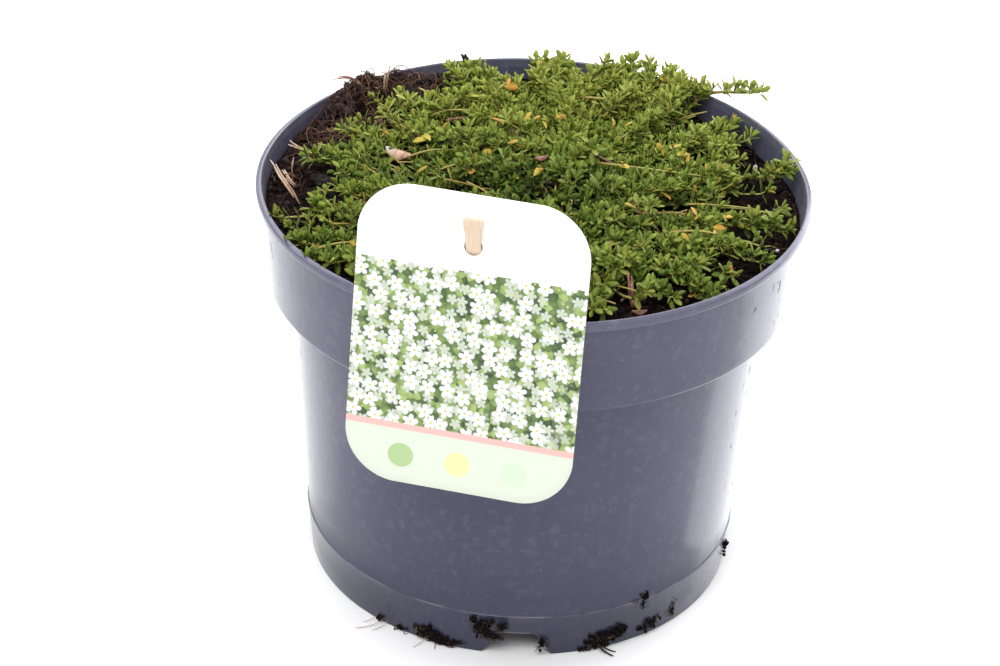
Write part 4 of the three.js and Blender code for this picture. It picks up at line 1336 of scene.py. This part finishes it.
withered, shader, pen = new_finish("withered_leaf", Roughness=0.65)
blotch = object_noise(pen, 450, 4)
skin = blotch.rise(0.35, 0.65).mix((0.24, 0.13, 0.085), (0.46, 0.30, 0.21))
(read(pen, "along").rise(0.45, 0.15) * 0.8).mix(skin, (0.56, 0.52, 0.49)).feed(shader, "Base Color")
blotch.emboss(shader, 0.6, 0.0004)
leaf_middle = [-47.5, 16.5, ground(-47.5, 18) + 6.8]
add_shell("dead_leaf", withered, leaf_middle, 5.3, 2.4, 1.9, -30, "dry_leaf_at_back")
small_leaves = [(2, 17, 9, 20), (12, -21, 8, 70), (36, -73, 2.2, 10), (45, -76, 2.0, 150), (-62, 30, 4, 60)]
for number, (x, y, up, turn) in enumerate(small_leaves, 1):
    add_shell(f"dead_leaf_small_{number}", reddish, [x, y, ground(x, y) + up], 2.6, 1.2, 1.6, turn)

chip_place, chip_half, chip_turn = [-72.5, 3.5, ground(-72.5, 3.5) + 1.7], [5.2, 3.0, 1.5], -30
up, turn = np.radians(np.linspace(-80, 80, 13))[:, None], np.linspace(0, full_turn, 26, endpoint=False)
rough = 1 + 0.14 * np.sin(3 * turn + 2 * up) + 0.1 * np.sin(7 * turn - 5 * up)
rough = rough + 0.06 * np.sin(13 * turn + 11 * up)
points, *faces = closed_skin(carried_round(np.cos(up) * rough, np.sin(up), turn), [0, 0, -1], [0, 0, 1])
placed = turned(points * chip_half, "Z", chip_turn) + chip_place
add_piece("bark_chip", blackened, "dark_bark", placed, *faces, node="bark_chip_left")


# Soil on the foot: moist peat and fine roots cling in clumps to the foot ring, in the drain notch and
# on the seam, where they have come out of the drain holes.
def foot_surface(azimuth, height, off):
    """Points on the pot's outside at an azimuth and height, by the taper of its foot and body, and off
    it by a distance."""
    on_foot = foot_radius + 1.8 * height / seam
    on_body = 75.9 + 6.8 * (height - seam) / (shelf - seam)
    return np.stack([*polar(azimuth, np.where(height < seam, on_foot, on_body) + off), height], -1)


# Each clump: azimuth and height of its middle, spread along and up in millimetres, crumbs, and size.
clumps = np.array([
    [-128.5, 1.0, 1.2, 1.0, 8, 1.2], [-121, 1.6, 2.6, 0.9, 12, 0.9], [-113.3, 3.8, 4.4, 1.7, 75, 1.4],
    [-108.6, 1.6, 3.6, 1.3, 70, 1.5], [-104.4, 2.4, 1.6, 0.7, 12, 0.9], [-98, 11.0, 2.4, 2.4, 60, 1.3],
    [-100.5, 14.2, 0.9, 1.2, 12, 1.0], [-96.5, 14.6, 2.2, 0.5, 12, 0.9], [-92.7, 12.6, 1.6, 0.8, 18, 1.1],
    [-94.6, 8.0, 2.4, 0.8, 36, 1.2], [-82.3, 5.4, 0.8, 2.2, 22, 1.0], [-66.2, 4.6, 4.6, 2.3, 110, 1.4],
    [-61.2, 5.8, 3.2, 2.0, 60, 1.3], [-70.3, 0.9, 2.6, 0.5, 22, 1.1], [-54, 18.3, 1.3, 1.1, 9, 1.6],
    [-54.3, 14.6, 0.5, 1.8, 6, 1.0], [-51.5, 4.6, 3.2, 2.6, 30, 1.1], [-43, 6, 1.0, 2.4, 12, 1.0],
    [-14.5, 12.6, 0.9, 1.0, 8, 2.1], [-11.5, 8, 0.8, 2.4, 9, 1.3], [118, 3, 5, 1.5, 60, 1.3],
    [63, 6, 3, 3, 30, 1.2], [162, 2, 4, 1.0, 30, 1.1], [92, 10, 2.5, 1.5, 24, 1.2],
])
seam_radius = 75
rng = np.random.default_rng(61)
crumbs = clumps[:, 4]
chosen = np.repeat(np.arange(len(clumps)), (crumbs * 1.7).astype(int))
bearing, up, spread, spread_up, _, crumb_size = clumps[chosen].T
count = len(chosen)
sizes = crumb_size * rng.uniform(0.35, 1.3, count)
azimuth = bearing + np.degrees(rng.normal(0, 0.55, count) * spread / seam_radius)
height = np.maximum(up + rng.normal(0, 0.6, count) * spread_up, 0.8 * sizes)
centres = foot_surface(azimuth, height, 0.25 * sizes + 0.5 * rng.random(count))
add_crumbs("soil_on_foot", centres, sizes, rng, darker=4)

count = 170
chosen = rng.choice(len(clumps), count, p=crumbs / crumbs.sum())
bearing, up, spread, spread_up = clumps[chosen, :4].T[:, :, None]
t = np.linspace(0, 1, 7)
heading = rng.uniform(-math.pi, 0.3, (count, 1)) + rng.uniform(-2, 2, (count, 1)) * t
step = rng.uniform(1.5, 4.5, (count, 1)) / 7
along, climb = np.cumsum(np.cos(heading), 1) * step, np.cumsum(np.sin(heading), 1) * step
azimuth = bearing + np.degrees((rng.normal(0, 0.5, (count, 1)) * spread + along) / seam_radius)
height = np.maximum(up + rng.normal(0, 0.5, (count, 1)) * spread_up + climb, 0.25)
off = 0.4 + rng.uniform(0, 1.3, (count, 1)) * np.sin(math.pi * t) ** 2
thick = rng.uniform(0.1, 0.22, (count, 1)) * np.array([1, 1, 1, 0.9, 0.8, 0.65, 0.4])
tone = rng.random(count) ** 4
# A few roots and a twig that lie outwards on the floor: azimuths of their ends, reach, radius and tone.
lying = np.array([
    [-127, -130.5, 9.5, 0.14, 1.0], [-125.5, -127, 6.5, 0.12, 0.95], [-129.5, -131, 5, 0.1, 0.9],
    [-113.5, -115, 6.5, 0.12, 1.0], [-110.5, -109.8, 4, 0.14, 0.2], [-66.8, -64.6, 6.5, 0.5, 0.0],
    [-65.9, -63.2, 4.5, 0.35, 0.0],
])
start, end, reach, radius, shade = lying.T[:, :, None]
azimuth = np.concatenate([azimuth, start + (end - start) * t**1.6])
height = np.concatenate([height, radius + 0.1 + 1.6 * (1 - t) ** 2 + 0.2 * np.sin(7 * t) ** 2])
off = np.concatenate([off, 0.2 + reach * t])
thick = np.concatenate([thick, radius * np.array([1, 1, 1, 0.95, 0.9, 0.8, 0.6])])
add_roots("roots_on_foot", foot_surface(azimuth, height, off), thick, np.append(tone, shade))

size = {"cad": [list(corner) for corner in cad_box], "visual": [list(corner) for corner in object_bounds()]}
